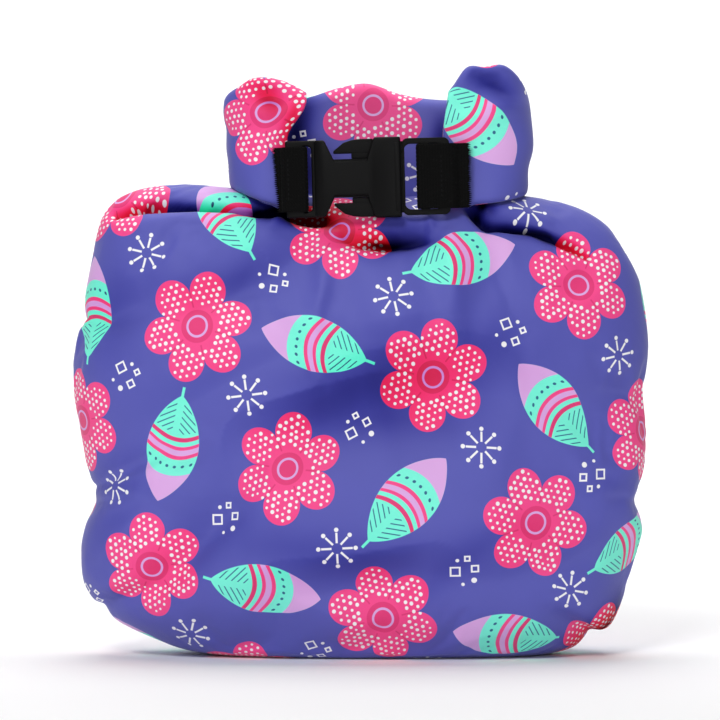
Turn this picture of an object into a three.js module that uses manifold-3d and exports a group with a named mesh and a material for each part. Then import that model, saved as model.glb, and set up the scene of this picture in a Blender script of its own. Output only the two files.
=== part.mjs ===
// A filled roll-top wet bag that stands by itself: a soft cloth pouch whose mouth is rolled down
// into a flat collar. The collar's two ends fold round to the front, where sewn webbing tabs hold
// them together with a side-release buckle.
// Millimetres, +Z up, the front faces -Y, and the origin is on the floor under the middle of the bag.
import * as THREE from "three";
import Module from "manifold-3d";

const wasm = await Module();
wasm.setup();

// Filled pouch
const pouchWidth = 229;
const pouchHeight = 188;
const frontBulge = 40; // from the plane of the side seams to the fullest point
const backBulge = 38;
const floorRounding = 4; // half the height over which the bottom turns flat on the floor
const cloth = 1.1; // one wall

// Rolled collar
const collarWidth = 122; // over both ears
const collarDepth = 41;
const collarShift = 6; // the collar's middle stands this far right of the pouch's middle
const collarHeight = 53;
const collarSink = 6; // the roll's lower edge below the pouch's top
const earRadius = 14; // of the roll's middle line, seen from above
const leftFlap = 29; // from the outside of the ear to the flap's end
const rightFlap = 35;
const innerGap = 0.5; // between the front and back cloth inside the roll
const layerGap = 0.5; // between one turn of the roll and the next
const neckDepth = 20; // how far below the roll the neck is carried, to reach inside the pouch
const mouthDrop = 12; // from the top of the roll to the mouth's edge inside it
const sideSeam = 2; // cloth that closes each end of the roll
const collarBottom = pouchHeight - collarSink; // above the floor

// Webbing tabs and the bars that they go round
const webbingWidth = 25.2;
const webbingThickness = 1.3;
const seat = 0.3; // clearance between pieces that touch
const leftTab = 4; // from the end of the bar to the tab's cut end
const rightTab = 7.8;

// Side-release buckle
const buckleHeight = 31.6;
const buckleThickness = 8.4;
const buckleWall = 1.5;
const buckleShift = 2.3; // right of the pouch's middle
const buckleRise = 9.3; // its middle above the roll's lower edge
const buckleTilt = 1.8; // degrees, right end up
const barThickness = 3.2;
const slotHeight = webbingWidth + 0.8;
const frameInset = 0.9; // the socket's base and the plug's frame are this much lower than its mouth
const socketBar = 6;
const socketSlot = 4.2;
const socketBase = 5.2; // from the slot to the start of the neck
const neckSlope = 3.8;
const waistHeight = 13.8;
const windowLength = 12.9;
const windowSlope = 2.8;
const mouthBand = 10.5;
const plugGap = 0.4; // between the socket's mouth and the plug's frame
const plugSlot = 7.2;
const plugMiddleBar = 3;
const plugOuterSlot = 4;
const plugOuterBar = 4.6;
const armSlit = 2.4; // between an arm's tip and the socket's waist
const armHeadInset = 1; // the arms' heads are this much lower than the socket's mouth
const armTipLength = 7.1; // the sloping part of the head
const armShank = 4;
const guideHeight = 8;
const edgeBevel = 0.5;

// The pouch's outline from the front: x is a share of half its width, z of its height.
const outlineRows = [
  { x: -0.06, z: -0.056 },
  { x: 0.36, z: -0.047 },
  { x: 0.6, z: -0.018 },
  { x: 0.76, z: 0.034 },
  { x: 0.87, z: 0.08 },
  { x: 0.93, z: 0.16 },
  { x: 0.975, z: 0.27 },
  { x: 0.965, z: 0.34 },
  { x: 0.995, z: 0.45 },
  { x: 0.985, z: 0.55 },
  { x: 0.997, z: 0.66 },
  { x: 0.975, z: 0.77 },
  { x: 0.93, z: 0.85 },
  { x: 0.83, z: 0.928 },
  { x: 0.66, z: 0.972 },
  { x: 0.4, z: 0.982 },
  { x: 0.05, z: 0.972 },
  { x: -0.3, z: 0.984 },
  { x: -0.62, z: 1.0 },
  { x: -0.8, z: 0.985 },
  { x: -0.895, z: 0.94 },
  { x: -0.93, z: 0.86 },
  { x: -0.975, z: 0.73 },
  { x: -1.003, z: 0.61 },
  { x: -0.975, z: 0.47 },
  { x: -0.935, z: 0.345 },
  { x: -0.975, z: 0.24 },
  { x: -0.965, z: 0.155 },
  { x: -0.87, z: 0.078 },
  { x: -0.7, z: 0.022 },
  { x: -0.46, z: -0.03 },
];

// How full the pouch is at each height, as a share of the front and back bulge.
const fullnessRows = [
  { height: -0.06, front: 0.84, back: 0.86 },
  { height: 0.15, front: 0.95, back: 0.97 },
  { height: 0.38, front: 1.0, back: 1.0 },
  { height: 0.62, front: 0.94, back: 0.96 },
  { height: 0.85, front: 0.84, back: 0.9 },
  { height: 1.0, front: 0.82, back: 0.9 },
];

// How squarely the cloth turns over the outline: the power of its rounding curve.
const rounding = { sides: 2.6, bottom: 4.6, frontNeck: 4.4, backNeck: 7.5 };

// Folds of the cloth, each along a line seen from the front. x is a share of half the width, z of
// the height; deep is a share of the front bulge, above 0 for a crease and below 0 for a ridge, and
// wide is a share of the height.
const foldRows = {
  front: [
    { fold: "left shoulder crease", x1: -0.25, z1: 0.935, x2: -0.55, z2: 0.948, deep: 0.13, wide: 0.02 },
    { fold: "left shoulder crease", x1: -0.55, z1: 0.948, x2: -0.85, z2: 0.925, deep: 0.16, wide: 0.022 },
    { fold: "left shoulder ridge", x1: -0.8, z1: 0.985, x2: -0.4, z2: 0.985, deep: -0.05, wide: 0.02 },
    { fold: "right shoulder crease", x1: 0.36, z1: 0.935, x2: 0.58, z2: 0.9, deep: 0.16, wide: 0.02 },
    { fold: "right shoulder crease", x1: 0.58, z1: 0.9, x2: 0.77, z2: 0.85, deep: 0.1, wide: 0.024 },
    { fold: "right shoulder ridge", x1: 0.4, z1: 0.965, x2: 0.72, z2: 0.92, deep: -0.06, wide: 0.022 },
    { fold: "dent under the buckle", x1: 0.03, z1: 0.886, x2: 0.24, z2: 0.883, deep: 0.1, wide: 0.024 },
    { fold: "roll under the buckle", x1: -0.05, z1: 0.925, x2: 0.26, z2: 0.922, deep: -0.05, wide: 0.022 },
    { fold: "belly ridge", x1: -0.26, z1: 0.56, x2: 0.26, z2: 0.665, deep: -0.05, wide: 0.06 },
    { fold: "belly crease", x1: -0.38, z1: 0.468, x2: -0.04, z2: 0.472, deep: 0.085, wide: 0.04 },
    { fold: "belly crease", x1: 0.04, z1: 0.475, x2: 0.4, z2: 0.52, deep: 0.05, wide: 0.05 },
    { fold: "upper left crease", x1: -0.6, z1: 0.75, x2: -0.4, z2: 0.79, deep: 0.06, wide: 0.035 },
    { fold: "lower crease", x1: -0.14, z1: 0.12, x2: 0.14, z2: 0.2, deep: 0.05, wide: 0.04 },
  ],
  both: [
    { fold: "left side pinch", x1: -1.0, z1: 0.335, x2: -0.8, z2: 0.355, deep: 0.07, wide: 0.03 },
    { fold: "right side pinch", x1: 1.0, z1: 0.34, x2: 0.86, z2: 0.35, deep: 0.05, wide: 0.03 },
    { fold: "bottom corner pinch", x1: 0.78, z1: 0.04, x2: 0.64, z2: 0.1, deep: 0.08, wide: 0.022 },
  ],
  back: [
    { fold: "back gather", x1: -0.3, z1: 0.95, x2: -0.42, z2: 0.7, deep: 0.07, wide: 0.035 },
    { fold: "back gather", x1: 0.12, z1: 0.95, x2: 0.1, z2: 0.76, deep: 0.05, wide: 0.035 },
    { fold: "back gather", x1: 0.42, z1: 0.95, x2: 0.55, z2: 0.72, deep: 0.07, wide: 0.035 },
    { fold: "back crease", x1: -0.5, z1: 0.42, x2: 0.2, z2: 0.36, deep: 0.05, wide: 0.06 },
  ],
};

// Top and bottom edge of the roll along its length, from the left flap's end (0) to the right
// flap's (1), as shares of the collar's height above its bottom.
const rollRows = [
  { at: 0.0, top: 0.8, bottom: -0.09 },
  { at: 0.04, top: 0.91, bottom: -0.05 },
  { at: 0.09, top: 0.945, bottom: 0.01 },
  { at: 0.125, top: 0.9, bottom: 0.05 },
  { at: 0.165, top: 0.8, bottom: 0.07 },
  { at: 0.22, top: 0.83, bottom: 0.0 },
  { at: 0.28, top: 0.82, bottom: -0.03 },
  { at: 0.35, top: 0.775, bottom: -0.03 },
  { at: 0.41, top: 0.83, bottom: -0.03 },
  { at: 0.465, top: 0.87, bottom: -0.03 },
  { at: 0.53, top: 0.84, bottom: -0.03 },
  { at: 0.59, top: 0.775, bottom: -0.03 },
  { at: 0.65, top: 0.77, bottom: -0.03 },
  { at: 0.72, top: 0.86, bottom: -0.02 },
  { at: 0.806, top: 0.79, bottom: 0.01 },
  { at: 0.845, top: 0.9, bottom: 0.0 },
  { at: 0.88, top: 0.99, bottom: -0.02 },
  { at: 0.92, top: 1.0, bottom: -0.04 },
  { at: 0.965, top: 0.97, bottom: -0.06 },
  { at: 1.0, top: 0.8, bottom: -0.08 },
];

// Mesh fineness
const outlineSteps = 56;
const frontRings = 14;
const backRings = 9;
const ringCrowding = 1.1; // above 1 puts more rings near the middle of the face
const backStrait = 13; // stations along the back of the collar
const earSteps = 5; // steps in each quarter turn of an ear

// Value of one column between the rows, on a smooth curve through them.
function smoothValue(rows, key, column, position) {
  const last = rows.length - 1;
  let i = 0;
  while (i < last - 1 && position > rows[i + 1][key]) i++;
  const before = rows[Math.max(i - 1, 0)];
  const from = rows[i];
  const to = rows[i + 1];
  const after = rows[Math.min(i + 2, last)];
  const span = to[key] - from[key];
  const t = THREE.MathUtils.clamp((position - from[key]) / span, 0, 1);
  const slopeFrom = ((to[column] - before[column]) / (to[key] - before[key])) * span;
  const slopeTo = ((after[column] - from[column]) / (after[key] - from[key])) * span;
  const t2 = t * t;
  const t3 = t2 * t;
  return (
    (2 * t3 - 3 * t2 + 1) * from[column] +
    (t3 - 2 * t2 + t) * slopeFrom +
    (3 * t2 - 2 * t3) * to[column] +
    (t3 - t2) * slopeTo
  );
}

// A manifold solid from vertices (THREE.Vector3) and triangles (three indices each).
function solidFrom(vertices, triangles) {
  const vertProperties = new Float32Array(vertices.flatMap((v) => [v.x, v.y, v.z]));
  return new wasm.Manifold(
    new wasm.Mesh({ numProp: 3, vertProperties, triVerts: new Uint32Array(triangles.flat()) }),
  );
}

function geometryFrom(solid) {
  const { vertProperties, triVerts } = solid.getMesh();
  const geometry = new THREE.BufferGeometry();
  geometry.setAttribute("position", new THREE.BufferAttribute(new Float32Array(vertProperties), 3));
  geometry.setIndex(new THREE.BufferAttribute(new Uint32Array(triVerts), 1));
  geometry.computeVertexNormals();
  return geometry;
}

// The pouch

const halfWidth = pouchWidth / 2;
const pouchMiddle = pouchHeight / 2;
const outline = new THREE.CatmullRomCurve3(
  outlineRows.map((row) => new THREE.Vector3(row.x * halfWidth, 0, row.z * pouchHeight)),
  true,
).getSpacedPoints(outlineSteps).slice(0, outlineSteps);

// The rounding power at a point of the outline: the bottom and the cloth under the collar are
// squarer than the sides.
function squareness(face, edge) {
  const { smoothstep } = THREE.MathUtils;
  const height = edge.z / pouchHeight;
  const neck = smoothstep(height, 0.8, 0.96) * (1 - smoothstep(Math.abs(edge.x / halfWidth), 0.35, 0.75));
  const bottom = 1 - smoothstep(height, 0, 0.2);
  return (
    rounding.sides +
    neck * (rounding[`${face}Neck`] - rounding.sides) +
    bottom * (rounding.bottom - rounding.sides)
  );
}

// Depth of the cloth in front of or behind the seam plane: share 1 is on the outline.
function bulgeAt(face, share, z, power) {
  const bulge = face === "front" ? -frontBulge : backBulge;
  const fullness = smoothValue(fullnessRows, "height", face, z / pouchHeight);
  return bulge * fullness * Math.sqrt(Math.max(1 - share ** power, 0));
}

// Rings of points from the middle of the front, over the outline, to the middle of the back.
function pouchRings() {
  const share = (ring, rings) => Math.sin((Math.PI / 2) * (ring / rings) ** ringCrowding);
  const levels = [];
  for (let k = 1; k <= frontRings; k++) levels.push({ face: "front", share: share(k, frontRings) });
  for (let k = backRings - 1; k >= 1; k--) levels.push({ face: "back", share: share(k, backRings) });
  return levels.map((level) =>
    outline.map((edge) => {
      const z = pouchMiddle + (edge.z - pouchMiddle) * level.share;
      const y = bulgeAt(level.face, level.share, z, squareness(level.face, edge));
      return new THREE.Vector3(edge.x * level.share, y, z);
    }),
  );
}

// How deep the folds press the cloth in at a point.
function foldDepth(point) {
  const x = point.x / halfWidth;
  const z = point.z / pouchHeight;
  const weights = {
    front: THREE.MathUtils.smoothstep(-point.y, 0, 0.2 * frontBulge),
    back: THREE.MathUtils.smoothstep(point.y, 0, 0.2 * backBulge),
    both: 1,
  };
  const stretch = halfWidth / pouchHeight; // so that distances count alike along x and z
  let depth = 0;
  for (const [face, rows] of Object.entries(foldRows))
    for (const row of rows) {
      const ax = (x - row.x1) * stretch;
      const az = z - row.z1;
      const bx = (row.x2 - row.x1) * stretch;
      const bz = row.z2 - row.z1;
      const along = THREE.MathUtils.clamp((ax * bx + az * bz) / (bx * bx + bz * bz), 0, 1);
      const away = Math.hypot(ax - along * bx, az - along * bz);
      depth += row.deep * frontBulge * Math.exp(-((away / row.wide) ** 2)) * weights[face];
    }
  return depth;
}

// The bottom lies flat on the floor, with a soft turn around the resting patch.
function restOnFloor(point) {
  if (point.z < -floorRounding) point.z = 0;
  else if (point.z < floorRounding) point.z = (point.z + floorRounding) ** 2 / (4 * floorRounding);
}

// Triangles of a closed skin: rings in order, with a point at each end.
function skinTriangles(ringCount, steps) {
  const first = ringCount * steps;
  const last = first + 1;
  const index = (ring, i) => ring * steps + (i % steps);
  const triangles = [];
  for (let i = 0; i < steps; i++) {
    triangles.push([first, index(0, i), index(0, i + 1)]);
    triangles.push([last, index(ringCount - 1, i + 1), index(ringCount - 1, i)]);
    for (let ring = 0; ring < ringCount - 1; ring++) {
      triangles.push([index(ring, i), index(ring + 1, i), index(ring + 1, i + 1)]);
      triangles.push([index(ring, i), index(ring + 1, i + 1), index(ring, i + 1)]);
    }
  }
  return triangles;
}

function skinNormals(vertices, triangles) {
  const normals = vertices.map(() => new THREE.Vector3());
  const ab = new THREE.Vector3();
  const ac = new THREE.Vector3();
  for (const [a, b, c] of triangles) {
    ab.subVectors(vertices[b], vertices[a]);
    ac.subVectors(vertices[c], vertices[a]);
    ab.cross(ac);
    for (const corner of [a, b, c]) normals[corner].add(ab);
  }
  return normals.map((normal) => normal.normalize());
}

function pouchSkins() {
  const rings = pouchRings();
  const vertices = rings.flat();
  for (const face of ["front", "back"])
    vertices.push(new THREE.Vector3(0, bulgeAt(face, 0, pouchMiddle, rounding.sides), pouchMiddle));
  const triangles = skinTriangles(rings.length, outlineSteps);
  const smooth = skinNormals(vertices, triangles);
  vertices.forEach((vertex, i) => vertex.addScaledVector(smooth[i], -foldDepth(vertex)));
  vertices.forEach(restOnFloor);
  const normals = skinNormals(vertices, triangles);
  const inside = vertices.map((vertex, i) => vertex.clone().addScaledVector(normals[i], -cloth));
  for (const vertex of inside) vertex.z = Math.max(vertex.z, cloth);
  return { outer: solidFrom(vertices, triangles), inner: solidFrom(inside, triangles) };
}

// The rolled collar: one double layer of cloth that rises from the pouch as the neck, turns over
// at the top, comes down on the outside, turns up again and ends inside at the bag's mouth.

const bandThickness = 2 * cloth + innerGap;
const pitch = bandThickness + layerGap;
const rollThickness = 3 * bandThickness + 2 * layerGap;

// The roll's middle line seen from above, from the left flap's end to the right flap's.
function collarPath() {
  const left = collarShift - collarWidth / 2 + rollThickness / 2;
  const right = collarShift + collarWidth / 2 - rollThickness / 2;
  const back = collarDepth / 2 - rollThickness / 2;
  const front = -back;
  const leftEnd = left - rollThickness / 2 + leftFlap;
  const rightEnd = right + rollThickness / 2 - rightFlap;
  const r = earRadius;
  const points = [];
  const quarter = (x, y, from) => {
    for (let k = 0; k <= earSteps; k++) {
      const angle = from - (k / earSteps) * (Math.PI / 2);
      points.push(new THREE.Vector2(x + r * Math.cos(angle), y + r * Math.sin(angle)));
    }
  };
  points.push(new THREE.Vector2(leftEnd, front));
  points.push(new THREE.Vector2((leftEnd + left + r) / 2, front));
  quarter(left + r, front + r, -Math.PI / 2);
  quarter(left + r, back - r, Math.PI);
  for (let k = 1; k < backStrait; k++)
    points.push(new THREE.Vector2(THREE.MathUtils.lerp(left + r, right - r, k / backStrait), back));
  quarter(right - r, back - r, Math.PI / 2);
  quarter(right - r, front + r, 0);
  points.push(new THREE.Vector2((rightEnd + right - r) / 2, front));
  points.push(new THREE.Vector2(rightEnd, front));
  return points;
}

// Section of the roll across its length: x is outwards from its middle, y is the height.
function rollLine(top, bottom) {
  const points = [new THREE.Vector2(-pitch, collarBottom - neckDepth)];
  const overTop = top - pitch - bandThickness / 2;
  for (const degrees of [180, 135, 90, 45, 0]) {
    const angle = THREE.MathUtils.degToRad(degrees);
    points.push(new THREE.Vector2(pitch * Math.cos(angle), overTop + pitch * Math.sin(angle)));
  }
  const underBottom = bottom + pitch / 2 + bandThickness / 2;
  for (const degrees of [0, -60, -120, -180]) {
    const angle = THREE.MathUtils.degToRad(degrees);
    const across = (pitch / 2) * (1 + Math.cos(angle));
    points.push(new THREE.Vector2(across, underBottom + (pitch / 2) * Math.sin(angle)));
  }
  points.push(new THREE.Vector2(0, top - mouthDrop));
  return points;
}

// Closed outline of a ribbon of the given thickness along a line, which it overruns at its far end.
function ribbon(line, thickness, overrun) {
  const near = [];
  const far = [];
  line.forEach((point, i) => {
    const before = line[Math.max(i - 1, 0)];
    const after = line[Math.min(i + 1, line.length - 1)];
    const arriving = new THREE.Vector2().subVectors(point, before).normalize();
    const leaving = new THREE.Vector2().subVectors(after, point).normalize();
    const way = new THREE.Vector2().addVectors(arriving, leaving).normalize();
    const turned = Math.max(way.dot(i ? arriving : leaving), 0.5);
    const side = new THREE.Vector2(-way.y, way.x).multiplyScalar(thickness / 2 / turned);
    const place = point.clone();
    if (i === line.length - 1) place.addScaledVector(arriving, overrun);
    near.push(place.clone().sub(side));
    far.push(place.clone().add(side));
  });
  return near.concat(far.reverse());
}

// Sweeps the rolled ribbon along the collar's path, as one closed solid.
function sweepRoll(path, thickness, endInset, overrun) {
  const reach = [0];
  for (let i = 1; i < path.length; i++) reach.push(reach[i - 1] + path[i].distanceTo(path[i - 1]));
  const total = reach[path.length - 1];
  const stations = path.map((point, i) => {
    const before = path[Math.max(i - 1, 0)];
    const after = path[Math.min(i + 1, path.length - 1)];
    const arriving = new THREE.Vector2().subVectors(point, before).normalize();
    const leaving = new THREE.Vector2().subVectors(after, point).normalize();
    const way = new THREE.Vector2().addVectors(arriving, leaving).normalize();
    const spread = 1 / Math.max(way.dot(i ? arriving : leaving), 0.5);
    const place = point.clone();
    if (i === 0) place.addScaledVector(leaving, endInset);
    if (i === path.length - 1) place.addScaledVector(arriving, -endInset);
    const top = smoothValue(rollRows, "at", "top", reach[i] / total) * collarHeight + collarBottom;
    const bottom = smoothValue(rollRows, "at", "bottom", reach[i] / total) * collarHeight + collarBottom;
    const outwards = new THREE.Vector2(-way.y, way.x).multiplyScalar(spread);
    return { place, outwards, section: ribbon(rollLine(top, bottom), thickness, overrun) };
  });
  const vertices = stations.flatMap(({ place, outwards, section }) =>
    section.map((p) => new THREE.Vector3(place.x + outwards.x * p.x, place.y + outwards.y * p.x, p.y)),
  );
  const count = stations[0].section.length;
  const triangles = [];
  for (let s = 0; s < stations.length - 1; s++)
    for (let i = 0; i < count; i++) {
      const next = (i + 1) % count;
      const here = s * count;
      const there = here + count;
      triangles.push([here + i, here + next, there + next]);
      triangles.push([here + i, there + next, there + i]);
    }
  const far = (stations.length - 1) * count;
  for (const [a, b, c] of THREE.ShapeUtils.triangulateShape(stations[0].section, []))
    triangles.push([a, c, b]);
  for (const [a, b, c] of THREE.ShapeUtils.triangulateShape(stations[stations.length - 1].section, []))
    triangles.push([far + a, far + b, far + c]);
  return solidFrom(vertices, triangles);
}

function bagShell() {
  const pouch = pouchSkins();
  const path = collarPath();
  const band = sweepRoll(path, bandThickness, 0, 0);
  const insideBand = sweepRoll(path, innerGap, sideSeam, 1);
  return pouch.outer.add(band).subtract(pouch.inner.add(insideBand));
}

// The buckle and its tabs, in their own frame: x along the buckle from its middle, y = 0 in the
// middle of its thickness, z = 0 in the middle of its height.

const buckleLength =
  socketBar + socketSlot + socketBase + neckSlope + windowLength + windowSlope + mouthBand +
  plugGap + plugSlot + plugMiddleBar + plugOuterSlot + plugOuterBar;
const socketLeft = -buckleLength / 2;
const socketSlotLeft = socketLeft + socketBar;
const socketSlotRight = socketSlotLeft + socketSlot;
const neckLeft = socketSlotRight + socketBase;
const neckRight = neckLeft + neckSlope;
const windowRight = neckRight + windowLength;
const bandLeft = windowRight + windowSlope;
const mouth = bandLeft + mouthBand;
const plugLeft = mouth + plugGap;
const plugSlotRight = plugLeft + plugSlot;
const outerSlotLeft = plugSlotRight + plugMiddleBar;
const outerSlotRight = outerSlotLeft + plugOuterSlot;
const plugRight = outerSlotRight + plugOuterBar;
const frameHeight = buckleHeight - 2 * frameInset;

// A flat piece with the given outline in x and z, centred on y = 0, its front and back edges bevelled.
function plate(corners, thickness, bevel = 0) {
  const shape = new THREE.Shape(corners.map(([x, z]) => new THREE.Vector2(x, z)));
  const geometry = new THREE.ExtrudeGeometry(shape, {
    depth: thickness - 2 * bevel,
    bevelEnabled: bevel > 0,
    bevelThickness: bevel,
    bevelSize: bevel,
    bevelOffset: -bevel,
    bevelSegments: 1,
    curveSegments: 4,
  });
  geometry.translate(0, 0, bevel - thickness / 2);
  geometry.rotateX(Math.PI / 2);
  return solidOfGeometry(geometry);
}

function solidOfGeometry(geometry) {
  const position = geometry.getAttribute("position");
  const vertices = [];
  const known = new Map();
  const corners = [];
  for (let i = 0; i < position.count; i++) {
    const point = new THREE.Vector3().fromBufferAttribute(position, i);
    const key = point.toArray().map((value) => value.toFixed(4)).join(",");
    if (!known.has(key)) {
      known.set(key, vertices.length);
      vertices.push(point);
    }
    corners.push(known.get(key));
  }
  const triangles = [];
  for (let i = 0; i < corners.length; i += 3) {
    const [a, b, c] = corners.slice(i, i + 3);
    if (a !== b && b !== c && c !== a) triangles.push([a, b, c]);
  }
  return solidFrom(vertices, triangles);
}

// Corners of an upright rectangle, with its left and its right corners rounded.
function rectangle(x1, x2, height, roundLeft, roundRight) {
  const half = height / 2;
  const corner = (x, z, towardX, towardZ, round) => {
    if (!round) return [[x, z]];
    const third = round * 0.3;
    return [
      [x, z + towardZ * round],
      [x + towardX * third, z + towardZ * third],
      [x + towardX * round, z],
    ];
  };
  return [
    ...corner(x1, -half, 1, 1, roundLeft),
    ...corner(x2, -half, -1, 1, roundRight).reverse(),
    ...corner(x2, half, -1, -1, roundRight),
    ...corner(x1, half, 1, -1, roundLeft).reverse(),
  ];
}

const slotThrough = buckleThickness + 2; // a cutter that passes through every thickness

function buckleSocket() {
  const half = buckleHeight / 2;
  const base = frameHeight / 2;
  const waist = waistHeight / 2;
  const lowerHalf = [
    [socketSlotRight + 1, -base], [neckLeft, -base], [neckRight, -waist],
    [windowRight, -waist], [bandLeft, -half], [mouth, -half],
  ];
  const upperHalf = lowerHalf.map(([x, z]) => [x, -z]).reverse();
  const body = plate([...lowerHalf, ...upperHalf], buckleThickness, edgeBevel);
  const bar = plate(rectangle(socketLeft, neckLeft, frameHeight, 1.5, 0), barThickness, edgeBevel);
  const hollow = plate(
    rectangle(neckRight - 1, mouth + 1, buckleHeight - 2 * buckleWall, 0, 0),
    buckleThickness - 2 * buckleWall,
  );
  const slot = plate(rectangle(socketSlotLeft, socketSlotRight, slotHeight, 0, 1), slotThrough);
  return bar.add(body).subtract(hollow).subtract(slot);
}

function bucklePlug() {
  const room = buckleThickness - 2 * buckleWall - 2 * seat;
  const outside = buckleHeight / 2 - buckleWall - seat;
  const head = buckleHeight / 2 - armHeadInset;
  const waist = waistHeight / 2;
  const tip = neckRight - seat;
  const neck = rectangle(mouth - 1.5, plugLeft + 1, 2 * outside, 0, 0);
  const shoulder = plate(neck, Math.min(room, barThickness));
  const frame = plate(rectangle(plugLeft, plugRight, frameHeight, 2, 2), barThickness, edgeBevel);
  const guide = plate(
    [
      [neckRight + 1.5, -guideHeight / 4], [neckRight + 3.5, -guideHeight / 2], [mouth, -guideHeight / 2],
      [mouth, guideHeight / 2], [neckRight + 3.5, guideHeight / 2], [neckRight + 1.5, guideHeight / 4],
    ],
    room,
  );
  const upperArm = plate(
    [
      [tip, waist + armSlit], [tip + armTipLength, waist + armSlit],
      [tip + armTipLength, waist + seat], [windowRight - 2, waist + seat],
      [windowRight, outside - armShank], [plugLeft + 0.5, outside - armShank],
      [plugLeft + 0.5, outside], [bandLeft - seat, outside],
      [bandLeft - seat, head - 1], [bandLeft - 1.5, head], [tip + armTipLength, head - 0.4],
      [tip + 0.6, waist + armSlit + 0.9],
    ],
    room,
  );
  const slot = plate(rectangle(plugLeft + seat, plugSlotRight, slotHeight, 1.6, 0), slotThrough);
  const outerSlot = plate(rectangle(outerSlotLeft, outerSlotRight, slotHeight, 0.6, 0.6), slotThrough);
  const solid = frame.add(shoulder).add(guide).add(upperArm).add(upperArm.mirror([0, 0, 1]));
  return solid.subtract(slot).subtract(outerSlot);
}

// Where the buckle stands in front of the flaps: on the tabs, which lie on the flaps.
const flapFace = -collarDepth / 2;
const backLegMiddle = flapFace - seat - webbingThickness / 2;
const buckleDepth = backLegMiddle - webbingThickness / 2 - seat - barThickness / 2;

// A tab goes round a bar and comes back over itself, with both ends on the flap. side -1 is the
// socket's tab and 1 the plug's; the bar's outer edge is at barEnd.
function webbingTab(side, barEnd, barWidth, tabLength) {
  const lift = seat + webbingThickness / 2; // from the bar's surface to the webbing's middle line
  const backLeg = backLegMiddle - buckleDepth;
  const frontLeg = backLeg - webbingThickness - seat;
  const turn = barEnd - side * barWidth;
  const along = (distance) => barEnd + side * distance;
  const line = [
    new THREE.Vector2(along(tabLength), frontLeg),
    new THREE.Vector2(along(0.45 * tabLength), frontLeg),
    new THREE.Vector2(along(0.08 * tabLength), -barThickness / 2 - lift),
  ];
  for (const [face, turns] of [[-1, [-90, -45, 0]], [1, [0, 45, 90]]])
    for (const degrees of turns) {
      const angle = THREE.MathUtils.degToRad(degrees);
      const x = turn - side * lift * Math.cos(angle);
      line.push(new THREE.Vector2(x, (face * barThickness) / 2 + lift * Math.sin(angle)));
    }
  line.push(new THREE.Vector2(along(0.3 * tabLength), backLeg));
  line.push(new THREE.Vector2(along(tabLength - 1), backLeg));
  const shape = new THREE.Shape(ribbon(line, webbingThickness, 0));
  const geometry = new THREE.ExtrudeGeometry(shape, { depth: webbingWidth, bevelEnabled: false });
  geometry.translate(0, 0, -webbingWidth / 2);
  return solidOfGeometry(geometry);
}

// Assembly

function piece(name, solid, color, roughness, group) {
  const material = new THREE.MeshStandardMaterial({ color, roughness, metalness: 0 });
  const mesh = new THREE.Mesh(geometryFrom(solid), material);
  mesh.name = name;
  group.add(mesh);
}

const bag = new THREE.Group();
piece("bag_shell", bagShell(), 0x5d5fb4, 0.75, bag);

const buckle = new THREE.Group();
piece("buckle_socket", buckleSocket(), 0x111112, 0.45, buckle);
piece("buckle_plug", bucklePlug(), 0x111112, 0.45, buckle);
piece("webbing_left", webbingTab(-1, socketLeft, socketBar, leftTab), 0x0e0e0f, 0.9, buckle);
piece("webbing_right", webbingTab(1, plugRight, plugRight - plugSlotRight, rightTab), 0x0e0e0f, 0.9, buckle);
buckle.position.set(buckleShift, buckleDepth, collarBottom + buckleRise);
buckle.rotation.y = -THREE.MathUtils.degToRad(buckleTilt);
bag.add(buckle);

// The origin goes to the floor under the middle of the whole.
const whole = new THREE.Box3().setFromObject(bag);
const middle = whole.getCenter(new THREE.Vector3());
bag.position.set(-middle.x, -middle.y, -whole.min.z);
const part = new THREE.Group();
part.add(bag);

export default part;
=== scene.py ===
import math
import bpy
import numpy as np
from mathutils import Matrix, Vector


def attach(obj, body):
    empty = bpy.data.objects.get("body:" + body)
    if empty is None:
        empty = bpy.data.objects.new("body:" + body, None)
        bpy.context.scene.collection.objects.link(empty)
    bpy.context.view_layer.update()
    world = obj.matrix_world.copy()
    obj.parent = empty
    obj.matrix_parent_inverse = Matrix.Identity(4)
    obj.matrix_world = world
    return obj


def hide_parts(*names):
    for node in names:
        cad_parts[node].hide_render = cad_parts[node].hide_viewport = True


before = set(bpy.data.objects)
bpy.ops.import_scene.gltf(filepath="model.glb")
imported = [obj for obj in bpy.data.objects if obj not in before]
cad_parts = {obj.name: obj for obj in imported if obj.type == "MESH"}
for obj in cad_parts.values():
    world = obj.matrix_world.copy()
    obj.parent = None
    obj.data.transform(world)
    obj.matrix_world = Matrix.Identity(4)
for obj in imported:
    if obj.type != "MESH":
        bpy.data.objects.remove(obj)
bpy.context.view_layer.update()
millimetre = 0.001


# small helpers

def deselectAll():
    if bpy.context.object and bpy.context.object.mode != "OBJECT":
        bpy.ops.object.mode_set(mode="OBJECT")
    bpy.ops.object.select_all(action="DESELECT")


def pick(piece):
    deselectAll()
    piece.select_set(True)
    bpy.context.view_layer.objects.active = piece


def applyModifier(piece, kind, **settings):
    pick(piece)
    modifier = piece.modifiers.new(kind.title(), kind)
    for setting, value in settings.items():
        setattr(modifier, setting, value)
    bpy.ops.object.modifier_apply(modifier=modifier.name)


def meshPiece(name, verts, faces, uvs=None):
    mesh = bpy.data.meshes.new(name)
    mesh.from_pydata([tuple(v) for v in verts], [], [tuple(f) for f in faces])
    if uvs is not None:
        layer = mesh.uv_layers.new(name="clothMap")
        layer.data.foreach_set("uv", np.asarray(uvs, dtype=float).ravel())
    mesh.validate()
    piece = bpy.data.objects.new(name, mesh)
    bpy.context.collection.objects.link(piece)
    return piece


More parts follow.
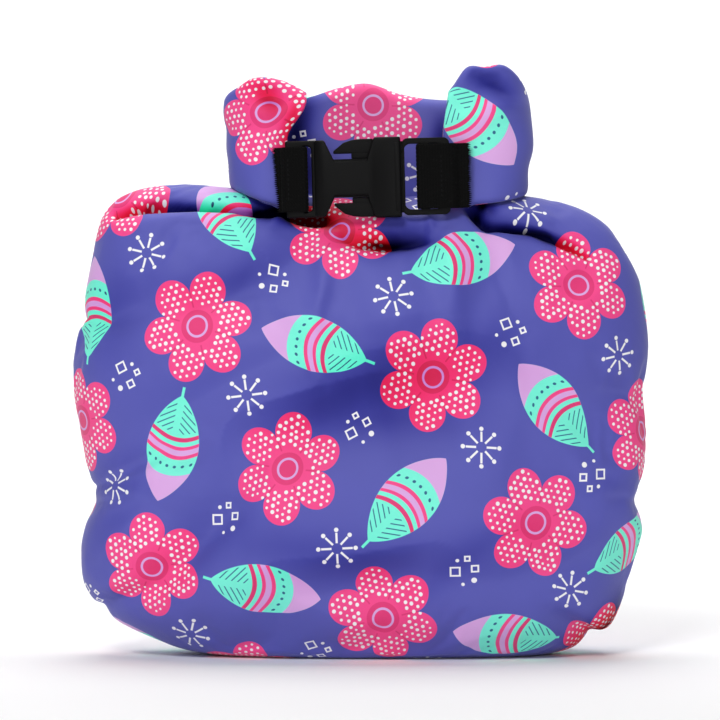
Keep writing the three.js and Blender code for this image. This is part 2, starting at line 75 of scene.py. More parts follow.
def readPoints(piece):
    points = np.empty(len(piece.data.vertices) * 3)
    piece.data.vertices.foreach_get("co", points)
    return points.reshape(-1, 3)


def writePoints(piece, points):
    piece.data.vertices.foreach_set("co", points.ravel())
    piece.data.update()


def turnFacesOut(piece):
    pick(piece)
    bpy.ops.object.mode_set(mode="EDIT")
    bpy.ops.mesh.select_all(action="SELECT")
    bpy.ops.mesh.normals_make_consistent(inside=False)
    bpy.ops.object.mode_set(mode="OBJECT")


def reachAlong(points):
    # how far each point lies along the line
    return np.concatenate([[0], np.cumsum(np.linalg.norm(np.diff(points, axis=0), axis=1))])


def besideWay(way):
    return np.stack([-way[:, 1], way[:, 0]], axis=1)


def newMaterial(name):
    material = bpy.data.materials.new(name)
    material.use_nodes = True
    return material, material.node_tree, material.node_tree.nodes["Principled BSDF"]


def addBump(tree, shader, height, strength, distance):
    bump = tree.nodes.new("ShaderNodeBump")
    bump.inputs["Strength"].default_value = strength
    bump.inputs["Distance"].default_value = distance
    tree.links.new(height, bump.inputs["Height"])
    tree.links.new(bump.outputs[0], shader.inputs["Normal"])


def smoothStep(value, low, high):
    t = np.clip((value - low) / (high - low), 0, 1)
    return t * t * (3 - 2 * t)


def column(rows, name):
    return np.array([row[name] for row in rows], dtype=float)


def smoothRow(rows, key, name, at):
    # smooth curve through one column of a table
    known, values = column(rows, key), column(rows, name)
    slopes = np.gradient(values, known)
    i = np.clip(np.searchsorted(known, at) - 1, 0, len(known) - 2)
    span = known[i + 1] - known[i]
    t = np.clip((at - known[i]) / span, 0, 1)
    return ((2 * t**3 - 3 * t**2 + 1) * values[i] + (t**3 - 2 * t**2 + t) * slopes[i] * span
            + (3 * t**2 - 2 * t**3) * values[i + 1] + (t**3 - t**2) * slopes[i + 1] * span)


# the camera looks level at the front, a little from above, as the photograph does
view = {
    "distance": 1.5,
    "elevation": 1.2,
    "aim": (-0.0004, 0.0, 0.1178),
    "across": 0.288,  # what the 720 pixels span at the bag
}


def setUpCamera():
    angle = math.radians(view["elevation"])
    aim = Vector(view["aim"])
    data = bpy.data.cameras.new("photoCamera")
    data.sensor_width = 36
    data.lens = 36 * view["distance"] / view["across"]
    data.clip_end = 20
    camera = bpy.data.objects.new("photoCamera", data)
    camera.location = aim + Vector((0, -math.cos(angle), math.sin(angle))) * view["distance"]
    camera.rotation_euler = (aim - camera.location).to_track_quat("-Z", "Y").to_euler()
    bpy.context.collection.objects.link(camera)
    bpy.context.scene.camera = camera


studio = {
    "sweepTone": (0.92, 0.92, 0.92, 1),
    "worldStrength": 0.1,
    # the wall stands behind every camera that looks at the bag's back
    "sweep": {"half": 3.0, "near": -2.6, "bend": 1.8, "radius": 0.5, "high": 3.0},
    "lamps": [
        {"name": "keyLamp", "at": (-0.45, -1.35, 1.35), "size": 0.55, "watts": 16.5},
        {"name": "frontLamp", "at": (0.2, -1.9, 0.3), "size": 1.0, "watts": 9.6},
        {"name": "backLamp", "at": (0.0, 0.45, 1.6), "size": 1.2, "watts": 24.0, "aim": (0, 1.3, 0.3)},
        {"name": "sweepLamp", "at": (0.0, 1.35, 1.6), "size": 1.2, "watts": 14.0, "aim": (0, 2.2, 0.3)},
    ],
}


def setUpStudio():
    # white paper sweep: flat floor, bend, wall
    shape = studio["sweep"]
    bpy.ops.mesh.primitive_plane_add(size=1)
    sweep = bpy.context.object
    sweep.name = "paperSweep"
    sweep.scale = (2 * shape["half"], shape["bend"] - shape["near"], 1)
    sweep.location = (0, (shape["bend"] + shape["near"]) / 2, -0.0002)
    bpy.ops.object.transform_apply(location=True, rotation=True, scale=True)
    bpy.ops.object.mode_set(mode="EDIT")
    bpy.ops.mesh.select_all(action="DESELECT")
    bpy.ops.object.mode_set(mode="OBJECT")
    for edge in sweep.data.edges:
        edge.select = all(sweep.data.vertices[v].co.y > shape["bend"] - 0.01 for v in edge.vertices)
    bpy.ops.object.mode_set(mode="EDIT")
    bpy.ops.mesh.select_mode(type="EDGE")
    bendCentre = (0, shape["bend"], shape["radius"])
    bpy.ops.mesh.spin(steps=16, angle=math.radians(-90), center=bendCentre, axis=(1, 0, 0))
    bpy.ops.mesh.extrude_region_move(TRANSFORM_OT_translate={"value": (0, 0, shape["high"])})
    bpy.ops.object.mode_set(mode="OBJECT")
    bpy.ops.object.shade_smooth()
    material, tree, shader = newMaterial("whitePaper")
    shader.inputs["Base Color"].default_value = studio["sweepTone"]
    shader.inputs["Roughness"].default_value = 0.9
    shader.inputs["Specular IOR Level"].default_value = 0.1
    sweep.data.materials.append(material)
    world = bpy.data.worlds.new("softWhite")
    world.use_nodes = True
    world.node_tree.nodes["Background"].inputs[0].default_value = (1, 1, 1, 1)
    world.node_tree.nodes["Background"].inputs[1].default_value = studio["worldStrength"]
    bpy.context.scene.world = world
    for lamp in studio["lamps"]:
        data = bpy.data.lights.new(lamp["name"], "AREA")
        data.energy = lamp["watts"]
        data.size = lamp["size"]
        light = bpy.data.objects.new(lamp["name"], data)
        light.location = lamp["at"]
        aim = Vector(lamp.get("aim", (0, 0, 0.12))) - light.location
        light.rotation_euler = aim.to_track_quat("-Z", "Y").to_euler()
        bpy.context.collection.objects.link(light)
    bpy.context.scene.view_settings.view_transform = "Standard"


# the filled pouch: two cloth panels that meet along the outline, close to the shape of the frame's
# bag_shell, with the folds of the photograph
pouch = {
    "width": 230 * millimetre,
    "height": 188 * millimetre,
    "frontBulge": 40 * millimetre,
    "backBulge": 38 * millimetre,
    "middle": (0.4 * millimetre, 1.28 * millimetre),  # of its seam plane, in the frame
    "floorRounding": 4 * millimetre,
    "squareness": {"sides": 2.6, "bottom": 4.6, "frontNeck": 4.4, "backNeck": 7.5},
    "foldStrength": 1.7,
    "seamGroove": 0.4 * millimetre,
    "steps": 110,  # quads along each side of a panel
    "backPrint": (0.331, 0.217),  # where the back panel was cut from the printed cloth
    # painted shade in the cloth's colour, set in the material: for the depth of a crease, for slopes away
    # from the key lamp and for the seam
    "crease": {"from": 0.5, "to": 4.6, "depth": 0.66, "slope": 0.2, "seam": 0.28},
    "outline": [
        {"x": -0.06, "z": -0.056}, {"x": 0.36, "z": -0.047}, {"x": 0.6, "z": -0.02},
        {"x": 0.76, "z": 0.024}, {"x": 0.875, "z": 0.072}, {"x": 0.93, "z": 0.16},
        {"x": 0.984, "z": 0.27}, {"x": 0.977, "z": 0.34}, {"x": 1.0, "z": 0.45},
        {"x": 0.976, "z": 0.55}, {"x": 0.991, "z": 0.66}, {"x": 0.967, "z": 0.77},
        {"x": 0.923, "z": 0.85}, {"x": 0.825, "z": 0.923}, {"x": 0.66, "z": 0.966},
        {"x": 0.4, "z": 0.982}, {"x": 0.05, "z": 0.972}, {"x": -0.3, "z": 0.984},
        {"x": -0.62, "z": 1.0}, {"x": -0.8, "z": 0.985}, {"x": -0.895, "z": 0.94},
        {"x": -0.935, "z": 0.86}, {"x": -0.99, "z": 0.73}, {"x": -1.014, "z": 0.61},
        {"x": -0.981, "z": 0.47}, {"x": -0.952, "z": 0.345}, {"x": -0.98, "z": 0.24},
        {"x": -0.965, "z": 0.155}, {"x": -0.87, "z": 0.085}, {"x": -0.7, "z": 0.031},
        {"x": -0.46, "z": -0.022},
    ],
    # where the four corners of a square panel come to lie on the outline
    "corners": [(-0.9, 0.1), (0.86, 0.08), (0.88, 0.9), (-0.88, 0.95)],
    "fullness": [
        {"height": -0.06, "front": 0.84, "back": 0.86},
        {"height": 0.15, "front": 0.95, "back": 0.97},
        {"height": 0.38, "front": 1.0, "back": 1.0},
        {"height": 0.62, "front": 0.94, "back": 0.96},
        {"height": 0.85, "front": 0.84, "back": 0.9},
        {"height": 1.0, "front": 0.82, "back": 0.9},
    ],
    "simulation": {
        "frames": 20, "quality": 5, "mass": 0.05, "stretch": 12, "shear": 4, "bending": 0.25,
        "pressure": 2.0, "growth": 0.02, "mostMove": 5 * millimetre,
        "heldNeck": {"above": 0.17, "middle": 0.006, "half": 0.066}, "heldBelow": 2 * millimetre,
    },
}

# folds along lines seen from the front: x from the pouch's middle and z above the floor, deep above
# 0 for a crease and below 0 for a ridge, and how far it reaches above and below the line, all in
# millimetres. A ramp climbs straight to a sharp edge on its upper side.
softFolds = {
    "front": [
        {"path": [(-75, 133), (-53, 142), (-33, 152), (-21, 164)], "deep": 3.6, "above": 12, "below": 10},
        {"path": [(-40, 86), (-13, 94), (7, 99)], "deep": 4.2, "above": 15, "below": 22, "ramp": True},
        {"path": [(3, 99), (22, 103), (40, 107)], "deep": 4.6, "above": 23, "below": 24, "ramp": True},
        {"path": [(44, 104), (70, 100), (96, 98)], "deep": 2.6, "above": 24, "below": 24},
        {"path": [(-2, 134), (24, 137)], "deep": -1.6, "above": 9, "below": 9},
        {"path": [(-29, 26), (-1, 28), (27, 33)], "deep": 3.6, "above": 15, "below": 12, "ramp": True},
        {"path": [(27, 33), (55, 32), (79, 38), (99, 48)], "deep": 3.0, "above": 15, "below": 14},
        {"path": [(-85, 24), (-55, 56)], "deep": 2.4, "above": 9, "below": 9},
        {"path": [(-105, 38), (-85, 62)], "deep": 1.6, "above": 8, "below": 8},
        {"path": [(-111, 130), (-85, 142)], "deep": 2.2, "above": 10, "below": 10},
        {"path": [(-76, 96), (-48, 112), (-30, 120)], "deep": 1.4, "above": 9, "below": 12},
        {"path": [(35, 168), (36, 136)], "deep": -1.6, "above": 6, "below": 6},
        {"path": [(50, 158), (62, 132)], "deep": 1.4, "above": 6, "below": 6},
        {"path": [(-14, 160), (-18, 136)], "deep": -1.2, "above": 6, "below": 6},
        {"path": [(66, 72), (96, 60)], "deep": 1.2, "above": 9, "below": 9},
    ],
    "both": [
        {"path": [(-110, 62), (-90, 66)], "deep": 1.2, "above": 4.5, "below": 4.5},
        {"path": [(-112, 67), (-82, 82)], "deep": 0.8, "above": 4.5, "below": 4.0},
        {"path": [(110, 64), (95, 67)], "deep": 0.8, "above": 4.5, "below": 4.5},
        {"path": [(108, 104), (95, 108)], "deep": 0.6, "above": 4.5, "below": 4.5},
        {"path": [(94, 8), (74, 20)], "deep": 1.5, "above": 3.6, "below": 3.4},
        {"path": [(-104, 20), (-86, 27)], "deep": 1.1, "above": 4.2, "below": 4.0},
        {"path": [(-112, 136), (-96, 131)], "deep": 0.4, "above": 4.5, "below": 4.5},
    ],
    "back": [
        {"path": [(-38, 178), (-44, 156), (-52, 134)], "deep": 2.8, "above": 4.5, "below": 4.5},
        {"path": [(-20, 178), (-23, 146)], "deep": 2.0, "above": 4.0, "below": 4.0},
        {"path": [(4, 178), (6, 150)], "deep": 1.6, "above": 4.0, "below": 4.0},
        {"path": [(27, 178), (32, 142)], "deep": 2.4, "above": 4.0, "below": 4.0},
        {"path": [(52, 178), (69, 138)], "deep": 3.0, "above": 4.5, "below": 4.5},
        {"path": [(-60, 175), (-92, 158)], "deep": 3.4, "above": 4.5, "below": 4.5},
        {"path": [(66, 173), (92, 160)], "deep": 2.8, "above": 4.5, "below": 4.5},
        {"path": [(-58, 80), (-10, 64), (24, 67)], "deep": 3.4, "above": 16, "below": 12, "ramp": True},
        {"path": [(12, 103), (50, 112), (82, 118)], "deep": 2.4, "above": 12, "below": 14},
        {"path": [(-90, 40), (-56, 30)], "deep": 2.0, "above": 10, "below": 8},
    ],
}

# crisp creases that are pressed into the settled cloth
crispFolds = {
    "front": [
        # left shoulder: a long dark crease under the rounded top
        {"path": [(-98, 175.4), (-92, 177.4), (-85, 178.6), (-77, 178.8), (-65, 179), (-52, 178.4),
                  (-42, 177.6)],
         "deep": 8.5, "above": 2.0, "below": 1.2},
        {"path": [(-93, 177.6), (-85, 179), (-76, 179.2)], "deep": 4.0, "above": 2.8, "below": 1.6},
        {"path": [(-96, 170.5), (-76, 173.5), (-50, 173)], "deep": -1.6, "above": 2.6, "below": 4.5},
        {"path": [(-46, 177.6), (-36, 176.8), (-31, 178.2)], "deep": 3.4, "above": 3.4, "below": 2.6},
        {"path": [(-36, 171.5), (-31, 176.5)], "deep": -1.6, "above": 1.8, "below": 1.8},
        {"path": [(-31, 176.4), (-25, 174.2), (-19, 173), (-12, 172.6)],
         "deep": 4.5, "above": 4.2, "below": 2.2},
        # under the buckle
        {"path": [(-7, 166), (-1, 164.4), (9, 163.6), (19, 164), (26, 165.6)],
         "deep": 5.0, "above": 4.4, "below": 2.0},
        {"path": [(1, 173.6), (25, 173.6)], "deep": -1.6, "above": 2.6, "below": 3.0},
        {"path": [(27.4, 177), (26.8, 166)], "deep": -1.5, "above": 1.8, "below": 1.8},
        # right shoulder
        {"path": [(42, 178.5), (46, 174.5), (50, 170.6)], "deep": 5.5, "above": 2.2, "below": 2.0},
        {"path": [(50, 170.6), (57, 170.4), (68, 168.8), (75, 165.8), (83, 162.4), (89, 159)],
         "deep": 7.5, "above": 2.4, "below": 1.3},
        {"path": [(50, 178.4), (60, 177), (73, 172.6)], "deep": -1.8, "above": 3.0, "below": 3.0},
        {"path": [(52, 164.5), (68, 163), (82, 156.5)], "deep": -1.2, "above": 2.6, "below": 4.5},
    ],
    "both": [],
    "back": [
        {"path": [(-62, 177), (-84, 170), (-98, 160)], "deep": 5.0, "above": 2.4, "below": 1.6},
        {"path": [(58, 178), (78, 172), (92, 160)], "deep": 4.5, "above": 2.4, "below": 1.6},
        {"path": [(-12, 178), (-14, 158)], "deep": 2.4, "above": 1.8, "below": 1.8},
        {"path": [(16, 178), (18, 162)], "deep": 2.4, "above": 1.8, "below": 1.8},
        {"path": [(40, 178), (47, 154)], "deep": 3.0, "above": 2.0, "below": 2.0},
        {"path": [(-34, 178), (-40, 152)], "deep": 3.0, "above": 2.0, "below": 2.0},
    ],
}


# places on the front that are dark in the photograph besides the creases, painted into the cloth:
# deep is how dark, and 1 or more is black
shadows = {
    "front": [
        {"path": [(-40, 179.5), (-30, 177), (-21, 175.6), (-10, 175.2)],
         "deep": 1.2, "above": 5.4, "below": 3.8},
        {"path": [(-5, 168.5), (9, 166.4), (24, 168)], "deep": 0.42, "above": 5.0, "below": 5.5},
        {"path": [(45, 179.5), (50, 178)], "deep": 1.1, "above": 2.5, "below": 3.0},
        {"path": [(47, 173), (57, 171), (69, 167.5), (82, 162)], "deep": 0.3, "above": 3.0, "below": 2.6},
        {"path": [(86, 5), (97, 11), (105, 20)], "deep": 1.0, "above": 4.5, "below": 6.0},
        {"path": [(-34, 90), (-12, 94), (12, 96), (34, 93)], "deep": 0.12, "above": 9, "below": 7},
        {"path": [(-14, 106), (8, 110), (34, 112)], "deep": 0.2, "above": 13, "below": 14},
        {"path": [(30, 112), (50, 126), (60, 130)], "deep": 0.08, "above": 8, "below": 12},
        {"path": [(-42, 47), (-8, 43), (14, 40)], "deep": 0.09, "above": 8, "below": 8},
        {"path": [(20, 24), (40, 42), (58, 54)], "deep": 0.07, "above": 6, "below": 6},
        {"path": [(-76, 28), (-58, 46), (-44, 58)], "deep": 0.05, "above": 5, "below": 6},
        {"path": [(-100, 124), (-96, 146)], "deep": 0.06, "above": 9, "below": 9},
        {"path": [(-73, 146), (-42, 151), (-27, 162)], "deep": 0.06, "above": 5, "below": 8},
    ],
    "both": [],
    "back": [],
}


def closedCurve(points, count):
    # evenly spaced points on a smooth closed curve
    points = np.asarray(points, dtype=float)
    before, after, beyond = (np.roll(points, shift, axis=0) for shift in (1, -1, -2))
    fine = 40
    t = (np.arange(fine) / fine)[:, None, None]
    curve = 0.5 * (2 * points + (after - before) * t + (2 * before - 5 * points + 4 * after - beyond) * t**2
                   + (3 * points - before - 3 * after + beyond) * t**3)
    curve = curve.transpose(1, 0, 2).reshape(-1, points.shape[1])
    curve = np.vstack([curve, curve[:1]])
    reach = reachAlong(curve)
    at = np.arange(count) / count * reach[-1]
    return np.stack([np.interp(at, reach, curve[:, k]) for k in range(curve.shape[1])], axis=1)


def panelPoints(face):
    # grid of points of one panel, from the middle out to the outline, and its flat cloth map
    half, height = pouch["width"] / 2, pouch["height"]
    outline = closedCurve([(row["x"] * half, row["z"] * height) for row in pouch["outline"]], 4000)
    corners = []
    for x, z in pouch["corners"]:
        corners.append(int(np.argmin(np.hypot(outline[:, 0] - x * half, outline[:, 1] - z * height))))
    corners = np.array(corners + [corners[0]], dtype=float)
    for k in range(1, 5):
        while corners[k] < corners[k - 1]:
            corners[k] += len(outline)
    n = pouch["steps"]
    s, t = np.meshgrid(np.linspace(-1, 1, n + 1), np.linspace(-1, 1, n + 1), indexing="ij")
    ring = np.maximum(np.abs(s), np.abs(t))
    safe = np.where(ring == 0, 1, ring)
    a, b = s / safe, t / safe
    onSide = [b <= -1, a >= 1, b >= 1]
    along = np.select(onSide, [(a + 1) / 2, 1 + (b + 1) / 2, 2 + (1 - a) / 2], 3 + (1 - b) / 2)
    index = np.interp(along, [0, 1, 2, 3, 4], corners) % len(outline)
    whole = index.astype(int)
    part = (index - whole)[..., None]
    edge = outline[whole] * (1 - part) + outline[(whole + 1) % len(outline)] * part
    middle = np.array([0, height / 2])
    bulge = -pouch["frontBulge"] if face == "front" else pouch["backBulge"]
    power = pouch["squareness"]
    high = edge[..., 1] / height
    neck = smoothStep(high, 0.8, 0.96) * (1 - smoothStep(np.abs(edge[..., 0]) / half, 0.35, 0.75))
    bottom = 1 - smoothStep(high, 0, 0.2)
    square = (power["sides"] + neck * (power[face + "Neck"] - power["sides"])
              + bottom * (power["bottom"] - power["sides"]))

    def surface(ringShare):
        share = np.sin(math.pi / 2 * ringShare)
        xz = middle + (edge - middle) * share[..., None]
        full = smoothRow(pouch["fullness"], "height", face, xz[..., 1] / height)
        y = bulge * full * np.sqrt(np.clip(1 - share**square, 0, 1))
        return np.stack([xz[..., 0], y, xz[..., 1]], axis=-1)

    points = surface(ring)
    # the cloth map keeps the distance from the middle of the panel, measured along the cloth
    length = np.zeros_like(ring)
    last = surface(ring * 0)
    for k in range(1, 25):
        here = surface(ring * k / 24)
        length += np.linalg.norm(here - last, axis=-1)
        last = here
    away = edge - middle
    away /= np.linalg.norm(away, axis=-1, keepdims=True)
    return points, away * length[..., None]


def besideLine(x, z, path):
    # distance from a line of several points, which side of it each point is on, from 1 straight
    # over it to -1 straight under it, and how far along it, from 0 to 1
    path = np.array(path, dtype=float) * millimetre
    lengths = np.linalg.norm(np.diff(path, axis=0), axis=1)
    best = np.full(x.shape, 1e9)
    sides, along = np.zeros_like(x), np.zeros_like(x)
    before = 0.0
    for (ax, az), (bx, bz), length in zip(path[:-1], path[1:], lengths):
        dx, dz = (bx - ax) / length, (bz - az) / length
        place = np.clip((x - ax) * dx + (z - az) * dz, 0, length)
        away = np.hypot(x - ax - place * dx, z - az - place * dz)
        side = ((z - az) * dx - (x - ax) * dz) * (1 if dx >= 0 else -1)
        near = away < best
        best = np.where(near, away, best)
        sides = np.where(near, side / np.maximum(away, 1e-7), sides)
        along = np.where(near, (before + place) / lengths.sum(), along)
        before += length
    return best, np.clip(sides, -1, 1), along


def foldDepth(points, folds):
    x, y, z = points.T
    weights = {
        "front": smoothStep(-y, 0, 0.2 * pouch["frontBulge"]),
        "back": smoothStep(y, 0, 0.2 * pouch["backBulge"]),
        "both": np.ones_like(x),
    }
    depth = np.zeros_like(x)
    for face, rows in folds.items():
        for row in rows:
            away, side, along = besideLine(x, z, row["path"])
            over = away / (row["above"] * millimetre)
            under = away / (row["below"] * millimetre)
            if row.get("ramp"):
                upper = np.sin(math.pi / 2 * np.clip(1 - over, 0, 1))
            else:
                upper = np.exp(-(over**1.7))
            shape = (1 + side) / 2 * upper + (1 - side) / 2 * np.exp(-(under**1.7))
            taper = 0.5 + 0.5 * np.sin(math.pi * along)
            depth += weights[face] * taper * row["deep"] * millimetre * shape
    return depth


def restOnFloor(points):
    k = pouch["floorRounding"]
    z = points[:, 2]
    points[:, 2] = np.where(z < -k, 0, np.where(z < k, (z + k) ** 2 / (4 * k), z))


def vertexNormals(piece):
    normals = np.empty(len(piece.data.vertices) * 3)
    piece.data.vertex_normals.foreach_get("vector", normals)
    return normals.reshape(-1, 3)


def makePouch():
    n = pouch["steps"]
    verts, faces, maps = [], [], []
    number = {}
    for face in ("front", "back"):
        points, flat = panelPoints(face)
        if face == "back":
            flat = flat * np.array([-1, 1]) + np.array(pouch["backPrint"])
        index = np.empty((n + 1, n + 1), dtype=int)
        for i in range(n + 1):
            for j in range(n + 1):
                rim = i in (0, n) or j in (0, n)
                if rim and (i, j) in number:
                    index[i, j] = number[i, j]
                    continue
                index[i, j] = len(verts)
                if rim:
                    number[i, j] = len(verts)
                verts.append(points[i, j])
        for i in range(n):
            for j in range(n):
                corners = [(i, j), (i + 1, j), (i + 1, j + 1), (i, j + 1)]
                if face == "back":
                    corners.reverse()
                faces.append([index[c] for c in corners])
                maps.extend(flat[c] for c in corners)
    piece = meshPiece("bag_pouch", verts, faces, maps)
    seam = np.zeros(len(verts))
    seam[list(number.values())] = 1
    piece.data.attributes.new("seam", "FLOAT", "POINT").data.foreach_set("value", seam)
    points = readPoints(piece)
    points -= vertexNormals(piece) * foldDepth(points, softFolds)[:, None] * pouch["foldStrength"]
    restOnFloor(points)
    writePoints(piece, points)
    return piece


def pressCreases(piece):
    # the crisp creases go in along the normals of the smooth cloth, and shade is painted into the cloth's
    # colour in them
    start = readPoints(piece)
    depth = foldDepth(start, crispFolds)
    # the two panels' seam lies in a shallow groove
    seam = np.empty(len(start))
    piece.data.attributes["seam"].data.foreach_get("value", seam)
    piece.data.attributes.remove(piece.data.attributes["seam"])
    start -= vertexNormals(piece) * (seam * pouch["seamGroove"])[:, None]
    normals = vertexNormals(piece)
    points = start - normals * depth[:, None]
    points[:, 2] = np.maximum(points[:, 2], 0)
    points[:, :2] += pouch["middle"]
    writePoints(piece, points)
    # painted shade also goes, a little, on slopes of the soft folds that turn away from the key lamp
    step = 0.5 * millimetre
    slopes = []
    for axis in (0, 2):
        ahead, behind = start.copy(), start.copy()
        ahead[:, axis] += step
        behind[:, axis] -= step
        change = foldDepth(ahead, softFolds) - foldDepth(behind, softFolds)
        slopes.append(change * pouch["foldStrength"] / (2 * step))
    away = np.clip(0.4 * slopes[0] - 0.75 * slopes[1], 0, 0.6)
    # painted shade: in the crisp creases, on those slopes, in the seam's groove, and the painted shadows of
    # the shadows table
    crease = pouch["crease"]
    dark = crease["depth"] * smoothStep(depth / millimetre, crease["from"], crease["to"])
    dark += crease["slope"] * away + crease["seam"] * seam**2
    dark += foldDepth(start, shadows) / millimetre
    setPaintedShade(piece, dark)


def setPaintedShade(piece, dark):
    # painted shade for each point, and painted light below 0, which the cloth material darkens or lightens
    # its colours by
    shade = piece.data.attributes.new("paintedShade", "FLOAT", "POINT")
    shade.data.foreach_set("value", np.clip(dark, -0.1, 1))


def letClothSettle(piece):
    # a little spare cloth and air inside let the surface find its own small wrinkles
    settings = pouch["simulation"]
    scene = bpy.context.scene
    before = readPoints(piece)
    held = piece.vertex_groups.new(name="held")
    hold = settings["heldNeck"]
    neck = (before[:, 2] > hold["above"]) & (np.abs(before[:, 0] - hold["middle"]) < hold["half"])
    low = before[:, 2] < settings["heldBelow"]
    held.add([int(i) for i in np.nonzero(neck | low)[0]], 1.0, "REPLACE")
    pick(piece)
    cloth = piece.modifiers.new("Cloth", "CLOTH")
    cloth.settings.quality = settings["quality"]
    cloth.settings.mass = settings["mass"]
    cloth.settings.tension_stiffness = settings["stretch"]
    cloth.settings.compression_stiffness = settings["stretch"]
    cloth.settings.shear_stiffness = settings["shear"]
    cloth.settings.bending_stiffness = settings["bending"]
    cloth.settings.use_pressure = True
    cloth.settings.uniform_pressure_force = settings["pressure"]
    cloth.settings.shrink_min = -settings["growth"]
    cloth.settings.vertex_group_mass = "held"
    cloth.settings.effector_weights.gravity = 0
    cloth.collision_settings.use_collision = False
    cloth.point_cache.frame_start = 1
    cloth.point_cache.frame_end = settings["frames"]
    for step in range(1, settings["frames"] + 1):
        scene.frame_set(step)
    bpy.ops.object.modifier_apply(modifier=cloth.name)
    scene.frame_set(1)
    after = readPoints(piece)
    move = after - before
    length = np.linalg.norm(move, axis=1, keepdims=True)
    most = settings["mostMove"]
    # no point goes further than this, so that the outline stays the photograph's
    move *= np.minimum(1, most / np.maximum(length, 1e-9))
    points = before + move
    points[:, 2] = np.maximum(points[:, 2], 0)
    writePoints(piece, points)
    piece.vertex_groups.clear()
    kept = min(float(length.max()), most)
    print("cloth settled, largest move kept", round(kept * 1000, 1), "mm")


